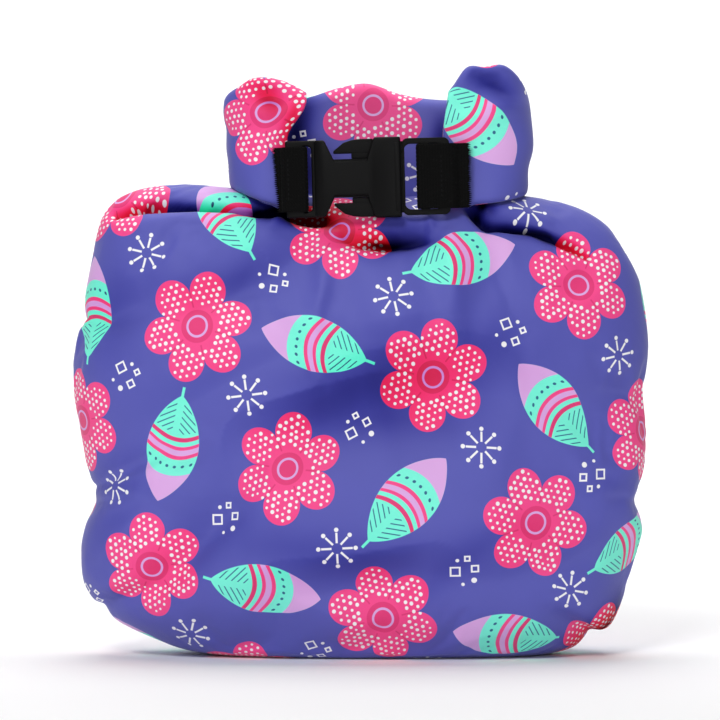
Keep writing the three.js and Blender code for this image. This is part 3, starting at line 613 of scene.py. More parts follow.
# the rolled collar: the bag's neck rises inside it, turns over at the top, comes down outside and
# turns up again to the mouth
collar = {
    "width": 122 * millimetre,
    "depth": 41 * millimetre,
    "shift": 6 * millimetre,
    "height": 53 * millimetre,
    "bottom": 182 * millimetre,
    "earRadius": 14 * millimetre,
    "leftFlap": 29 * millimetre,
    "rightFlap": 35 * millimetre,
    "band": 2.7 * millimetre,
    "layerGap": 0.5 * millimetre,
    "neckDepth": 20 * millimetre,
    "mouthDrop": 12 * millimetre,
    "stations": 240,
    "turnPoints": (23, 35),  # of rollLine: where the turn at the top starts and ends
    "levelPoint": 45,  # of rollLine: on the outer layer, where its print is level
    "print": (0.113, 0.061),  # where the collar lies on the printed cloth
    "printRise": 0.4,
    "profile": [
        {"at": 0.0, "top": 0.79, "bottom": -0.09}, {"at": 0.04, "top": 0.885, "bottom": -0.05},
        {"at": 0.09, "top": 0.897, "bottom": 0.01}, {"at": 0.125, "top": 0.84, "bottom": 0.05},
        {"at": 0.165, "top": 0.8, "bottom": 0.07}, {"at": 0.22, "top": 0.83, "bottom": 0.0},
        {"at": 0.28, "top": 0.8, "bottom": -0.03}, {"at": 0.35, "top": 0.785, "bottom": -0.03},
        {"at": 0.41, "top": 0.855, "bottom": -0.03}, {"at": 0.465, "top": 0.89, "bottom": -0.03},
        {"at": 0.53, "top": 0.81, "bottom": -0.03}, {"at": 0.59, "top": 0.77, "bottom": -0.03},
        {"at": 0.65, "top": 0.77, "bottom": -0.03}, {"at": 0.72, "top": 0.86, "bottom": -0.02},
        {"at": 0.806, "top": 0.79, "bottom": 0.01}, {"at": 0.845, "top": 0.94, "bottom": 0.0},
        {"at": 0.88, "top": 1.0, "bottom": -0.02}, {"at": 0.92, "top": 0.985, "bottom": -0.04},
        {"at": 0.965, "top": 0.97, "bottom": -0.06}, {"at": 1.0, "top": 0.8, "bottom": -0.08},
    ],
    # pushes of the rolled band, out above 0 and in below 0: place along the roll, height as a
    # share of the collar, and reach and push in millimetres
    "pushes": [
        {"at": 0.052, "high": 0.77, "along": 6.5, "up": 4, "push": -3.2},
        {"at": 0.05, "high": 0.64, "along": 9, "up": 4.5, "push": 1.3},
        {"at": 0.11, "high": 0.78, "along": 5, "up": 9, "push": -1.6},
        {"at": 0.14, "high": 0.62, "along": 9, "up": 8, "push": 1.0},
        {"at": 0.16, "high": 0.35, "along": 8, "up": 9, "push": -1.0},
        {"at": 0.08, "high": 0.3, "along": 7, "up": 8, "push": 0.7},
        {"at": 0.42, "high": 0.5, "along": 14, "up": 12, "push": 1.0},
        {"at": 0.56, "high": 0.6, "along": 12, "up": 14, "push": -1.0},
        {"at": 0.3, "high": 0.35, "along": 10, "up": 16, "push": -1.2},
        {"at": 0.5, "high": 0.3, "along": 16, "up": 9, "push": -0.9},
        {"at": 0.64, "high": 0.4, "along": 10, "up": 14, "push": -1.0},
        {"at": 0.908, "high": 0.9, "along": 8, "up": 4.5, "push": -3.4},
        {"at": 0.962, "high": 0.56, "along": 7, "up": 4, "push": 1.2},
        {"at": 0.925, "high": 0.63, "along": 8, "up": 4, "push": 1.5},
        {"at": 0.89, "high": 0.7, "along": 7, "up": 4, "push": 1.1},
        {"at": 0.95, "high": 0.74, "along": 7, "up": 5, "push": -1.0},
        {"at": 0.86, "high": 0.4, "along": 8, "up": 9, "push": 0.8},
        {"at": 0.93, "high": 0.2, "along": 9, "up": 6, "push": -0.8},
    ],
    # folds, and painted shadows, of its upper part, as on the pouch
    "folds": {
        "front": [
            {"path": [(-43, 227), (-37, 223.5), (-34, 218)], "deep": 2.0, "above": 2.6, "below": 3.4},
            {"path": [(-52, 224), (-57, 213)], "deep": -1.0, "above": 4, "below": 4},
            {"path": [(45, 230.5), (52, 228), (57, 223.5)], "deep": 2.4, "above": 3.0, "below": 4.0},
            {"path": [(37, 206), (47, 213), (58, 221)], "deep": -1.6, "above": 4, "below": 4},
            {"path": [(58, 214), (62, 200), (58, 190)], "deep": -0.8, "above": 6, "below": 6},
        ],
        "both": [],
        "back": [],
    },
    "shadows": {
        "front": [
            {"path": [(-43, 226.5), (-37, 223), (-34, 218.5)], "deep": 0.42, "above": 3.4, "below": 4.4},
            {"path": [(-25, 220), (-30, 206), (-31, 200)], "deep": 0.5, "above": 2.6, "below": 2.6},
            {"path": [(45, 230), (52, 227.5), (57, 223)], "deep": 0.32, "above": 4.0, "below": 4.5},
        ],
        "both": [],
        "back": [
            {"path": [(-23.5, 222), (-27, 208), (-28, 192)], "deep": 0.85, "above": 4.6, "below": 4.6},
            # painted light, for the light that comes back from the roll's other side
            {"path": [(-14, 212), (6, 216), (30, 211)], "deep": -0.045, "above": 16, "below": 16},
            {"path": [(32, 213), (31, 200)], "deep": 0.4, "above": 3.0, "below": 3.0},
        ],
    },
    # how far its left and right sides stand out or in, in millimetres, at each height
    "sides": [
        {"z": 180, "left": 2.4, "right": -2.2}, {"z": 186, "left": 2.2, "right": -0.6},
        {"z": 195, "left": 0.8, "right": -0.8}, {"z": 202, "left": -0.2, "right": 0.6},
        {"z": 210, "left": 1.0, "right": 0.8}, {"z": 218, "left": 0.5, "right": 0.0},
        {"z": 226, "left": 0.4, "right": -1.4}, {"z": 237, "left": 0.6, "right": -1.8},
    ],
    # how far the flaps' ends lean along the roll, in millimetres, between two heights
    "leans": [
        {"end": 0.0, "low": 205, "high": 221, "from": -3.6, "to": 4.0},
        {"end": 1.0, "low": 206, "high": 229, "from": 0.0, "to": 2.4},
    ],
}


def collarPath(count):
    thick = 3 * collar["band"] + 2 * collar["layerGap"]
    left = collar["shift"] - collar["width"] / 2 + thick / 2
    right = collar["shift"] + collar["width"] / 2 - thick / 2
    back = collar["depth"] / 2 - thick / 2
    r = collar["earRadius"]
    leftEnd = left - thick / 2 + collar["leftFlap"]
    rightEnd = right + thick / 2 - collar["rightFlap"]
    corners = [
        (left + r, r - back, 270), (left + r, back - r, 180),
        (right - r, back - r, 90), (right - r, r - back, 0),
    ]
    points = [(leftEnd, -back)]
    for x, y, start in corners:
        for k in range(31):
            angle = math.radians(start - 3 * k)
            points.append((x + r * math.cos(angle), y + r * math.sin(angle)))
    points.append((rightEnd, -back))
    points = np.array(points)
    reach = reachAlong(points)
    at = np.linspace(0, reach[-1], count)
    place = np.stack([np.interp(at, reach, points[:, k]) for k in (0, 1)], axis=1)
    way = np.gradient(place, at, axis=0)
    way /= np.linalg.norm(way, axis=1, keepdims=True)
    return place, besideWay(way), at


def rollLine(top, bottom):
    # the band's middle line across the roll: outwards distance and height
    pitch = collar["band"] + collar["layerGap"]
    over = top - pitch - collar["band"] / 2
    under = bottom + pitch / 2 + collar["band"] / 2
    line = [(-pitch, z) for z in np.linspace(collar["bottom"] - collar["neckDepth"], over, 24)[:-1]]
    line += [(pitch * math.cos(a), over + pitch * math.sin(a)) for a in np.linspace(math.pi, 0, 13)]
    line += [(pitch, z) for z in np.linspace(over, under, 18)[1:-1]]
    line += [(pitch / 2 * (1 + math.cos(a)), under + pitch / 2 * math.sin(a))
             for a in np.linspace(0, -math.pi, 9)]
    line += [(0, z) for z in np.linspace(under, top - collar["mouthDrop"], 10)[1:]]
    return np.array(line)


def bandSection(line, thickness):
    way = np.gradient(line, axis=0)
    way /= np.linalg.norm(way, axis=1, keepdims=True)
    side = besideWay(way) * thickness / 2
    return np.vstack([line - side, (line + side)[::-1]])


def makeCollar():
    place, outwards, at = collarPath(collar["stations"])
    total = at[-1]
    rows = collar["profile"]
    top = smoothRow(rows, "at", "top", at / total) * collar["height"] + collar["bottom"]
    bottom = smoothRow(rows, "at", "bottom", at / total) * collar["height"] + collar["bottom"]
    verts, faces, maps = [], [], []
    rings, lengths = [], []
    level = collar["levelPoint"]
    printX, printZ = collar["print"]
    # at the back the inner layer's print keeps level too, and the turn at the top takes up the rest
    atBack = smoothStep(place[:, 1], -0.005, 0.01)
    backTop = np.mean(top[place[:, 1] > 0])
    for k in range(len(at)):
        line = rollLine(top[k], bottom[k])
        section = bandSection(line, collar["band"])
        lengths.append(np.linalg.norm(np.diff(line, axis=0), axis=1).sum())
        slack = 2 - 2 * smoothStep(np.arange(len(line)), *collar["turnPoints"])
        reaches = []
        for side in (section[: len(line)], section[len(line) :][::-1]):
            reach = reachAlong(side)
            # the outer layer's print keeps level, whatever the height of the roll
            shift = collar["printRise"] - line[level, 1] - reach[level]
            reaches.append(reach + shift + slack * atBack[k] * (top[k] - backTop))
        rings.append((section, np.concatenate([reaches[0], reaches[1][::-1]])))
    count = len(rings[0][0])
    way = np.gradient(place, at, axis=0)
    # the print runs along the outer layer
    outer = place + outwards * (collar["band"] + collar["layerGap"])
    along = reachAlong(outer)
    for k, (section, reach) in enumerate(rings):
        z = section[:, 1]
        high = (z - collar["bottom"]) / collar["height"]
        push = np.zeros(count)
        for row in collar["pushes"]:
            beside = (at[k] - row["at"] * total) / (row["along"] * millimetre)
            up = (high - row["high"]) * collar["height"] / (row["up"] * millimetre)
            push += row["push"] * millimetre * np.exp(-(beside**2) - up**2)
        # the cloth under the tabs stays flat
        besideTab = smoothStep(np.abs(z - 0.1915), 0.016, 0.022)
        if place[k, 1] < 0 and (place[k, 0] < -0.018 or 0.02 < place[k, 0] < 0.046):
            push *= np.where(push > 0, besideTab, 1)
        push += 0.2 * millimetre * np.sin(at[k] * 190 + high * 5) * np.sin(high * 9 + at[k] * 60)
        lean = np.zeros(count)
        for row in collar["leans"]:
            near = math.exp(-(((at[k] / total - row["end"]) / 0.05) ** 2))
            share = smoothStep(z / millimetre, row["low"], row["high"])
            flat = smoothStep(z / millimetre, 196, 205)
            lean -= near * flat * (row["from"] + (row["to"] - row["from"]) * share) * millimetre
        level = np.stack([place[k, 0] + 0 * z, place[k, 1] + outwards[k, 1] * section[:, 0], z], axis=1)
        out = section[:, 0] + push - foldDepth(level, collar["folds"])
        x = place[k, 0] + outwards[k, 0] * out + way[k, 0] * lean
        y = place[k, 1] + outwards[k, 1] * out + way[k, 1] * lean
        for edge, key in ((-1, "left"), (1, "right")):
            near = smoothStep(edge * (x - collar["shift"]), 0.044, 0.058)
            x = x + near * smoothRow(collar["sides"], "z", key, z / millimetre) * millimetre
        verts.extend(zip(x, y, z))
    for k in range(len(rings) - 1):
        for i in range(count):
            j = (i + 1) % count
            faces.append([k * count + i, k * count + j, (k + 1) * count + j, (k + 1) * count + i])
            for station, point in ((k, i), (k, j), (k + 1, j), (k + 1, i)):
                maps.append((along[station] + printX, rings[station][1][point] + printZ))
    half = count // 2
    for k, turn in ((0, 1), (len(rings) - 1, -1)):
        for i in range(half - 1):
            quad = [k * count + i, k * count + count - 1 - i, k * count + count - 2 - i, k * count + i + 1]
            faces.append(quad[::turn])
            for corner in quad[::turn]:
                maps.append((along[k] + printX, rings[k][1][corner % count] + printZ))
    piece = meshPiece("rolled_collar", verts, faces, maps)
    points = readPoints(piece)
    # painted shadows, and a little painted light, go into the collar's cloth colour
    setPaintedShade(piece, foldDepth(points, collar["shadows"]) / millimetre)
    points[:, :2] += pouch["middle"]
    writePoints(piece, points)
    return piece, (float(total), float(np.mean(lengths)))


# the printed cloth. The print is a generic one: pink blossoms with white dots, striped leaves, and
# small white bursts and diamonds, laid out from the cloth map, whose unit is the metre
cloth = {
    "ground": (0.093, 0.098, 0.455),
    "pink": (0.93, 0.062, 0.27),
    "deepPink": (0.78, 0.035, 0.19),
    "mint": (0.19, 0.93, 0.72),
    "lilac": (0.72, 0.40, 0.78),
    "teal": (0.02, 0.13, 0.25),
    "white": (0.93, 0.92, 0.94),
    "pitch": 48.5,  # millimetres between neighbouring large motifs
    "turn": 0.21,
    "blossomRadius": 22.0,
    "leafHalfLength": 22.0,
    "leafHalfWidth": 11.0,
    "specular": 0.4,
    "sheen": 0.16,
}


class NodeMaths:
    def __init__(self, tree):
        self.tree = tree

    def __call__(self, operation, *values):
        node = self.tree.nodes.new("ShaderNodeMath")
        node.operation = operation
        for socket, value in zip(node.inputs, values):
            if isinstance(value, (int, float)):
                socket.default_value = value
            else:
                self.tree.links.new(value, socket)
        return node.outputs[0]

    def length(self, x, y):
        return self("SQRT", self("ADD", self("MULTIPLY", x, x), self("MULTIPLY", y, y)))

    def inside(self, distance, soft=0.12):
        # 1 where the distance is below 0, with a soft edge
        node = self.tree.nodes.new("ShaderNodeMapRange")
        node.interpolation_type = "SMOOTHSTEP"
        node.inputs["From Min"].default_value = soft
        node.inputs["From Max"].default_value = -soft
        self.tree.links.new(distance, node.inputs["Value"])
        return node.outputs[0]

    def colour(self, mask, under, over):
        node = self.tree.nodes.new("ShaderNodeMix")
        node.data_type = "RGBA"
        self.tree.links.new(mask, node.inputs[0])
        for socket, value in ((node.inputs[6], under), (node.inputs[7], over)):
            if isinstance(value, tuple):
                socket.default_value = (*value, 1)
            else:
                self.tree.links.new(value, socket)
        return node.outputs[2]

    def noise(self, x, y, seed):
        joined = self.tree.nodes.new("ShaderNodeCombineXYZ")
        self.tree.links.new(x, joined.inputs[0])
        self.tree.links.new(y, joined.inputs[1])
        joined.inputs[2].default_value = seed
        node = self.tree.nodes.new("ShaderNodeTexWhiteNoise")
        node.noise_dimensions = "3D"
        self.tree.links.new(joined.outputs[0], node.inputs["Vector"])
        parts = self.tree.nodes.new("ShaderNodeSeparateColor")
        self.tree.links.new(node.outputs["Color"], parts.inputs[0])
        return parts.outputs


def motifPlace(m, u, v, offset, jitter, seed):
    # own coordinates of the nearest motif on a square lattice, each turned and moved at random
    pitch = cloth["pitch"]
    i = m("FLOOR", m("DIVIDE", m("ADD", u, offset), pitch))
    j = m("FLOOR", m("DIVIDE", m("ADD", v, offset), pitch))
    random = m.noise(i, j, seed)
    a = m("SUBTRACT", m("SUBTRACT", m("ADD", u, offset), m("MULTIPLY", m("ADD", i, 0.5), pitch)),
          m("MULTIPLY", m("SUBTRACT", random[0], 0.5), jitter))
    b = m("SUBTRACT", m("SUBTRACT", m("ADD", v, offset), m("MULTIPLY", m("ADD", j, 0.5), pitch)),
          m("MULTIPLY", m("SUBTRACT", random[1], 0.5), jitter))
    angle = m("MULTIPLY", random[2], 2 * math.pi)
    c, s = m("COSINE", angle), m("SINE", angle)
    x = m("ADD", m("MULTIPLY", a, c), m("MULTIPLY", b, s))
    y = m("SUBTRACT", m("MULTIPLY", b, c), m("MULTIPLY", a, s))
    odd = m("FLOORED_MODULO", m("ADD", i, j), 2.0)
    return x, y, odd


def petalEdge(m, x, y):
    # how far a point is outside the blossom's outline
    away = m.length(x, y)
    petals = m("ABSOLUTE", m("COSINE", m("MULTIPLY", m("ARCTAN2", y, x), 3.0)))
    rim = m("MULTIPLY", m("ADD", m("MULTIPLY", m("POWER", petals, 0.62), 0.4), 0.6), cloth["blossomRadius"])
    return away, petals, m("SUBTRACT", away, rim)


def petalDots(m, x, y, pitch, radius):
    # whole dots of a lattice with every other row shifted, where they fit in the petals
    row = m("FLOOR", m("DIVIDE", y, pitch * 0.86))
    shift = m("MULTIPLY", m("FLOORED_MODULO", row, 2.0), 0.5 * pitch)
    col = m("FLOOR", m("DIVIDE", m("ADD", x, shift), pitch))
    random = m.noise(col, row, 4.7)
    cx = m("SUBTRACT", m("SUBTRACT", m("ADD", x, shift), m("MULTIPLY", m("ADD", col, 0.5), pitch)),
           m("MULTIPLY", m("SUBTRACT", random[1], 0.5), 0.25 * pitch))
    cy = m("SUBTRACT", m("SUBTRACT", y, m("MULTIPLY", m("ADD", row, 0.5), pitch * 0.86)),
           m("MULTIPLY", m("SUBTRACT", random[2], 0.5), 0.2 * pitch))
    away = m.length(cx, cy)
    size = m("MULTIPLY", m("ADD", m("MULTIPLY", random[0], 0.5), 0.7), radius)
    dot = m.inside(m("SUBTRACT", away, size))
    middle, _, edge = petalEdge(m, m("SUBTRACT", x, cx), m("SUBTRACT", y, cy))
    fits = m("MULTIPLY", m("LESS_THAN", edge, -1.3), m("GREATER_THAN", middle, 8.6))
    return m("MULTIPLY", dot, fits)


def addBlossom(m, x, y, odd, under):
    away, petals, shape = petalEdge(m, x, y)
    here = m("SUBTRACT", 1.0, odd)
    petal = m("MULTIPLY", m.inside(shape), here)
    colour = m.colour(petal, under, cloth["pink"])
    line = m("MULTIPLY", m.inside(m("SUBTRACT", m("MULTIPLY", petals, away), 0.9), 0.25),
             m.inside(m("SUBTRACT", 7.5, away)))
    colour = m.colour(m("MULTIPLY", line, petal), colour, cloth["deepPink"])
    dots = petalDots(m, x, y, 2.7, 0.68)
    colour = m.colour(m("MULTIPLY", dots, petal), colour, cloth["white"])
    heart = m.inside(m("SUBTRACT", away, 6.4))
    colour = m.colour(m("MULTIPLY", heart, here), colour, cloth["deepPink"])
    ring = m.inside(m("SUBTRACT", m("ABSOLUTE", m("SUBTRACT", away, 3.9)), 0.45))
    return m.colour(m("MULTIPLY", ring, here), colour, cloth["lilac"])


def addLeaf(m, x, y, odd, under):
    half, wide = cloth["leafHalfLength"], cloth["leafHalfWidth"]
    share = m("DIVIDE", x, half)
    body = m("POWER", m("MAXIMUM", m("SUBTRACT", 1.0, m("MULTIPLY", share, share)), 0.0), 0.85)
    side = m("ABSOLUTE", y)
    shape = m("ADD", m("SUBTRACT", side, m("MULTIPLY", body, wide)), 0.3)
    leaf = m("MULTIPLY", m.inside(shape), odd)
    colour = m.colour(leaf, under, cloth["mint"])
    bend = m("ADD", x, m("MULTIPLY", m("MULTIPLY", y, y), 0.035))  # bands bow across the leaf
    tip = m.inside(m("SUBTRACT", 11.0, bend))
    colour = m.colour(m("MULTIPLY", tip, leaf), colour, cloth["lilac"])
    bands = ((1.2, 2.6, "lilac"), (-0.6, 0.7, "pink"), (3.2, 0.8, "pink"), (-4.2, 0.9, "deepPink"))
    for at, thick, tone in bands:
        band = m.inside(m("SUBTRACT", m("ABSOLUTE", m("SUBTRACT", bend, at)), thick))
        colour = m.colour(m("MULTIPLY", band, leaf), colour, cloth[tone])
    beads = m("SUBTRACT", m("FLOORED_MODULO", m("ADD", y, 1.5), 3.0), 1.5)
    beads = m.length(beads, m("SUBTRACT", bend, 7.2))
    beads = m("MULTIPLY", m.inside(m("SUBTRACT", beads, 0.62)), m.inside(m("ADD", shape, 0.9)))
    colour = m.colour(m("MULTIPLY", beads, leaf), colour, cloth["teal"])
    slanted = m("SUBTRACT", x, m("MULTIPLY", side, 0.7))
    veins = m("FLOORED_MODULO", m("ADD", slanted, 1.2), 2.4)
    veins = m("ABSOLUTE", m("SUBTRACT", veins, 1.2))
    veins = m("MULTIPLY", m.inside(m("SUBTRACT", veins, 0.26)), m.inside(m("ADD", bend, 6.6)))
    veins = m("MULTIPLY", veins, m.inside(m("SUBTRACT", 1.4, side)))
    veins = m("MULTIPLY", veins, m.inside(m("ADD", shape, 0.7)))
    colour = m.colour(m("MULTIPLY", veins, leaf), colour, cloth["teal"])
    stem = m("MULTIPLY", m.inside(m("SUBTRACT", side, 0.55)),
             m.inside(m("SUBTRACT", m("ABSOLUTE", m("ADD", x, half)), 3.2)))
    return m.colour(m("MULTIPLY", stem, odd), colour, cloth["mint"])


def addSmallMarks(m, x, y, odd, under):
    away = m.length(x, y)
    turn = math.pi / 4
    ray = m("SUBTRACT", m("FLOORED_MODULO", m("ADD", m("ARCTAN2", y, x), turn / 2), turn), turn / 2)
    across = m("MULTIPLY", away, m("ABSOLUTE", m("SINE", ray)))
    rays = m("MULTIPLY", m.inside(m("SUBTRACT", across, 0.42)),
             m.inside(m("SUBTRACT", m("ABSOLUTE", m("SUBTRACT", away, 4.1)), 2.0)))
    forward = m("SUBTRACT", m("MULTIPLY", away, m("COSINE", ray)), 7.2)
    seeds = m.inside(m("SUBTRACT", m.length(across, forward), 0.85))
    burst = m("MULTIPLY", m("MAXIMUM", rays, seeds), odd)
    colour = m.colour(burst, under, cloth["white"])
    marks = None
    for cx, cy, size, hollow in ((-2.8, 2.4, 2.5, True), (3.4, -2.2, 1.8, True), (1.2, 5.2, 1.0, False),
                                 (-4.6, -3.4, 0.9, False), (4.4, 3.0, 1.3, True), (-0.4, -5.4, 1.5, False)):
        dx, dy = m("ABSOLUTE", m("SUBTRACT", x, cx)), m("ABSOLUTE", m("SUBTRACT", y, cy))
        diamond = m("ADD", dx, dy)
        if hollow:
            distance = m("SUBTRACT", m("ABSOLUTE", m("SUBTRACT", diamond, size)), 0.5)
        else:
            distance = m("SUBTRACT", m.length(dx, dy), size * 0.75)
        mask = m.inside(distance)
        marks = mask if marks is None else m("MAXIMUM", marks, mask)
    return m.colour(m("MULTIPLY", marks, m("SUBTRACT", 1.0, odd)), colour, cloth["white"])


def printedCloth():
    material, tree, shader = newMaterial("printedCloth")
    m = NodeMaths(tree)
    uv = tree.nodes.new("ShaderNodeUVMap")
    uv.uv_map = "clothMap"
    turned = tree.nodes.new("ShaderNodeMapping")
    turned.inputs["Scale"].default_value = (1000, 1000, 1000)
    turned.inputs["Rotation"].default_value = (0, 0, cloth["turn"])
    tree.links.new(uv.outputs[0], turned.inputs[0])
    parts = tree.nodes.new("ShaderNodeSeparateXYZ")
    tree.links.new(turned.outputs[0], parts.inputs[0])
    u, v = parts.outputs[0], parts.outputs[1]
    # slight unevenness of the dyed ground
    mottle = tree.nodes.new("ShaderNodeTexNoise")
    mottle.inputs["Scale"].default_value = 0.05
    mottle.inputs["Detail"].default_value = 4
    tree.links.new(turned.outputs[0], mottle.inputs["Vector"])
    darker = tuple(c * 0.93 for c in cloth["ground"])
    colour = m.colour(mottle.outputs["Fac"], cloth["ground"], darker)
    x, y, odd = motifPlace(m, u, v, cloth["pitch"] / 2, 5.0, 2.3)
    colour = addSmallMarks(m, x, y, odd, colour)
    x, y, odd = motifPlace(m, u, v, 0.0, 4.0, 7.9)
    colour = addBlossom(m, x, y, odd, colour)
    colour = addLeaf(m, x, y, odd, colour)
    # painted shade: in the creases and painted shadows every colour gets deeper and at last black, and
    # nothing shines; below 0 the same attribute paints light
    crease = tree.nodes.new("ShaderNodeAttribute")
    crease.attribute_name = "paintedShade"
    dark = crease.outputs["Fac"]
    shadeGamma = tree.nodes.new("ShaderNodeGamma")
    tree.links.new(colour, shadeGamma.inputs["Color"])
    tree.links.new(m("ADD", m("MULTIPLY", dark, 2.4), 1.0), shadeGamma.inputs["Gamma"])
    shadeToBlack = m("ADD", m("MULTIPLY", dark, 0.25), m("MULTIPLY", m("POWER", dark, 6.0), 0.7))
    colour = m.colour(shadeToBlack, shadeGamma.outputs[0], (0.0, 0.0, 0.0))
    tree.links.new(colour, shader.inputs["Base Color"])
    # the painted shade dims the specular and sheen too
    outside = m("SUBTRACT", 1.0, dark)
    for socket, value in (("Specular IOR Level", cloth["specular"]), ("Sheen Weight", cloth["sheen"])):
        shader.inputs[socket].default_value = value  # for an export that drops the link
        tree.links.new(m("MULTIPLY", outside, value), shader.inputs[socket])
    shader.inputs["Roughness"].default_value = 0.62
    shader.inputs["Sheen Roughness"].default_value = 0.45
    # fine knit of the face cloth
    knit = m("MULTIPLY", m("SINE", m("MULTIPLY", u, 14.0)), m("SINE", m("MULTIPLY", v, 17.0)))
    grain = tree.nodes.new("ShaderNodeTexNoise")
    grain.inputs["Scale"].default_value = 1.3
    grain.inputs["Detail"].default_value = 3
    tree.links.new(turned.outputs[0], grain.inputs["Vector"])
    height = m("ADD", m("MULTIPLY", knit, 0.35), grain.outputs["Fac"])
    addBump(tree, shader, height, 0.35, 0.00006)
    return material


# the side-release buckle, in millimetres in its own frame: x along it from its middle, y = 0 in
# the middle of its thickness, z = 0 in the middle of its height
buckle = {
    "place": (2.7, -22.72, 190.0),
    "tilt": -1.5,
    "height": 31.6,
    "frameHeight": 30.3,
    "thickness": 8.4,
    "barThickness": 3.2,
    "wall": 1.5,
    "waist": 13.8,
    "left": -32.3,
    "slotLeft": -25.1,
    "slotRight": -22.1,
    "neckLeft": -16.9,
    "neckRight": -13.1,
    "windowRight": -0.2,
    "bandLeft": 2.6,
    "mouth": 13.1,
    "plugLeft": 13.5,
    "plugSlotRight": 20.7,
    "outerSlotLeft": 23.7,
    "outerSlotRight": 27.7,
    "right": 32.3,
    "slotHeight": 25.8,
    "armSlit": 2.8,
}


def block(name, x1, x2, y1, y2, z1, z2):
    deselectAll()
    bpy.ops.mesh.primitive_cube_add(size=1)
    piece = bpy.context.object
    piece.name = name
    piece.scale = ((x2 - x1) * millimetre, (y2 - y1) * millimetre, (z2 - z1) * millimetre)
    piece.location = ((x1 + x2) / 2 * millimetre, (y1 + y2) / 2 * millimetre, (z1 + z2) / 2 * millimetre)
    bpy.ops.object.transform_apply(location=True, rotation=True, scale=True)
    return piece


def cutAlong(piece, places):
    # new edges right round the piece at each x
    pick(piece)
    bpy.ops.object.mode_set(mode="EDIT")
    for x in places:
        bpy.ops.mesh.select_all(action="SELECT")
        bpy.ops.mesh.bisect(plane_co=(x * millimetre, 0, 0), plane_no=(1, 0, 0))
    bpy.ops.object.mode_set(mode="OBJECT")


def resizeAt(piece, x, factors):
    # scales the ring of corners at one x
    pick(piece)
    for edge in piece.data.edges:
        edge.select = False
    for face in piece.data.polygons:
        face.select = False
    for vertex in piece.data.vertices:
        vertex.select = abs(vertex.co.x - x * millimetre) < 0.00001
    bpy.ops.object.mode_set(mode="EDIT")
    bpy.ops.mesh.select_mode(type="VERT")
    bpy.ops.transform.resize(value=factors, center_override=(x * millimetre, 0, 0))
    bpy.ops.object.mode_set(mode="OBJECT")


def roundEdges(piece, width, segments=3, angle=30):
    applyModifier(piece, "BEVEL", width=width * millimetre, segments=segments, limit_method="ANGLE",
                  angle_limit=math.radians(angle), harden_normals=False)


def cut(piece, tool):
    applyModifier(piece, "BOOLEAN", object=tool, operation="DIFFERENCE", solver="EXACT")
    bpy.data.objects.remove(tool)


def join(piece, other):
    applyModifier(piece, "BOOLEAN", object=other, operation="UNION", solver="EXACT")
    bpy.data.objects.remove(other)


def slotTool(x1, x2, height, roundLeft, roundRight):
    # a cutter for an upright slot; the corners at its left and right are rounded by themselves
    tool = block("slotTool", x1, x2, -8, 8, -height / 2, height / 2)
    for x, width in ((x1, roundLeft), (x2, roundRight)):
        if width == 0:
            continue
        pick(tool)
        bpy.ops.object.mode_set(mode="EDIT")
        bpy.ops.mesh.select_all(action="DESELECT")
        bpy.ops.object.mode_set(mode="OBJECT")
        for edge in tool.data.edges:
            a, b = (tool.data.vertices[v].co for v in edge.vertices)
            upright = abs(a.x - b.x) < 1e-6 and abs(a.z - b.z) < 1e-6
            edge.select = upright and abs(a.x - x * millimetre) < 1e-5
        bpy.ops.object.mode_set(mode="EDIT")
        bpy.ops.mesh.select_mode(type="EDGE")
        bpy.ops.mesh.bevel(offset=width * millimetre, segments=6)
        bpy.ops.object.mode_set(mode="OBJECT")
    return tool


def placeBuckleParts(pieces, material):
    for piece in pieces:
        pick(piece)
        piece.rotation_euler = (0, math.radians(buckle["tilt"]), 0)
        piece.location = [c * millimetre for c in buckle["place"]]
        bpy.ops.object.transform_apply(location=True, rotation=True, scale=True)
        piece.data.materials.clear()
        piece.data.materials.append(material)
        bpy.ops.object.shade_smooth_by_angle(angle=math.radians(35))
        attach(piece, "root")


def makeSocket():
    b = buckle
    half = b["thickness"] / 2
    high = b["height"] / 2
    body = block("buckleSocket", b["slotRight"] + 1, b["mouth"], -half, half, -high, high)
    cutAlong(body, (b["neckLeft"], b["neckRight"], b["windowRight"], b["bandLeft"]))
    for x, height in ((b["slotRight"] + 1, b["frameHeight"]), (b["neckLeft"], b["frameHeight"]),
                      (b["neckRight"], b["waist"]), (b["windowRight"], b["waist"])):
        resizeAt(body, x, (1, 1, height / b["height"]))
    # the base gets thinner towards the bar
    resizeAt(body, b["slotRight"] + 1, (1, b["barThickness"] / b["thickness"] * 1.25, 1))
    roundEdges(body, 0.9, 4)
    inside = half - b["wall"]
    cut(body, block("hollow", b["neckRight"] - 1, b["mouth"] + 1, -inside, inside,
                    -b["height"] / 2 + b["wall"], b["height"] / 2 - b["wall"]))
    # the rails inside, a little taller than the waist between the windows
    for z1, z2 in ((5.4, 7.5), (-7.5, -5.4)):
        ends = b["neckRight"] - 2, b["windowRight"] + 2
        join(body, block("rail", *ends, -inside + 0.2, inside - 0.2, z1, z2))
    bar = block("bar", b["left"], b["slotRight"] + 3, -b["barThickness"] / 2, b["barThickness"] / 2,
                -b["frameHeight"] / 2, b["frameHeight"] / 2)
    cut(bar, slotTool(b["slotLeft"], b["slotRight"], b["slotHeight"], 0, 1.6))
    roundEdges(bar, 0.7, 3)
    join(body, bar)
    # a low raised rim beside the mouth, on both faces
    for side in (-1, 1):
        face = side * half
        rim = block("rim", b["mouth"] - 2.4, b["mouth"] - 0.5, face - 0.2, face + 0.2, -13.6, 13.6)
        roundEdges(rim, 0.18, 2)
        join(body, rim)
    return body


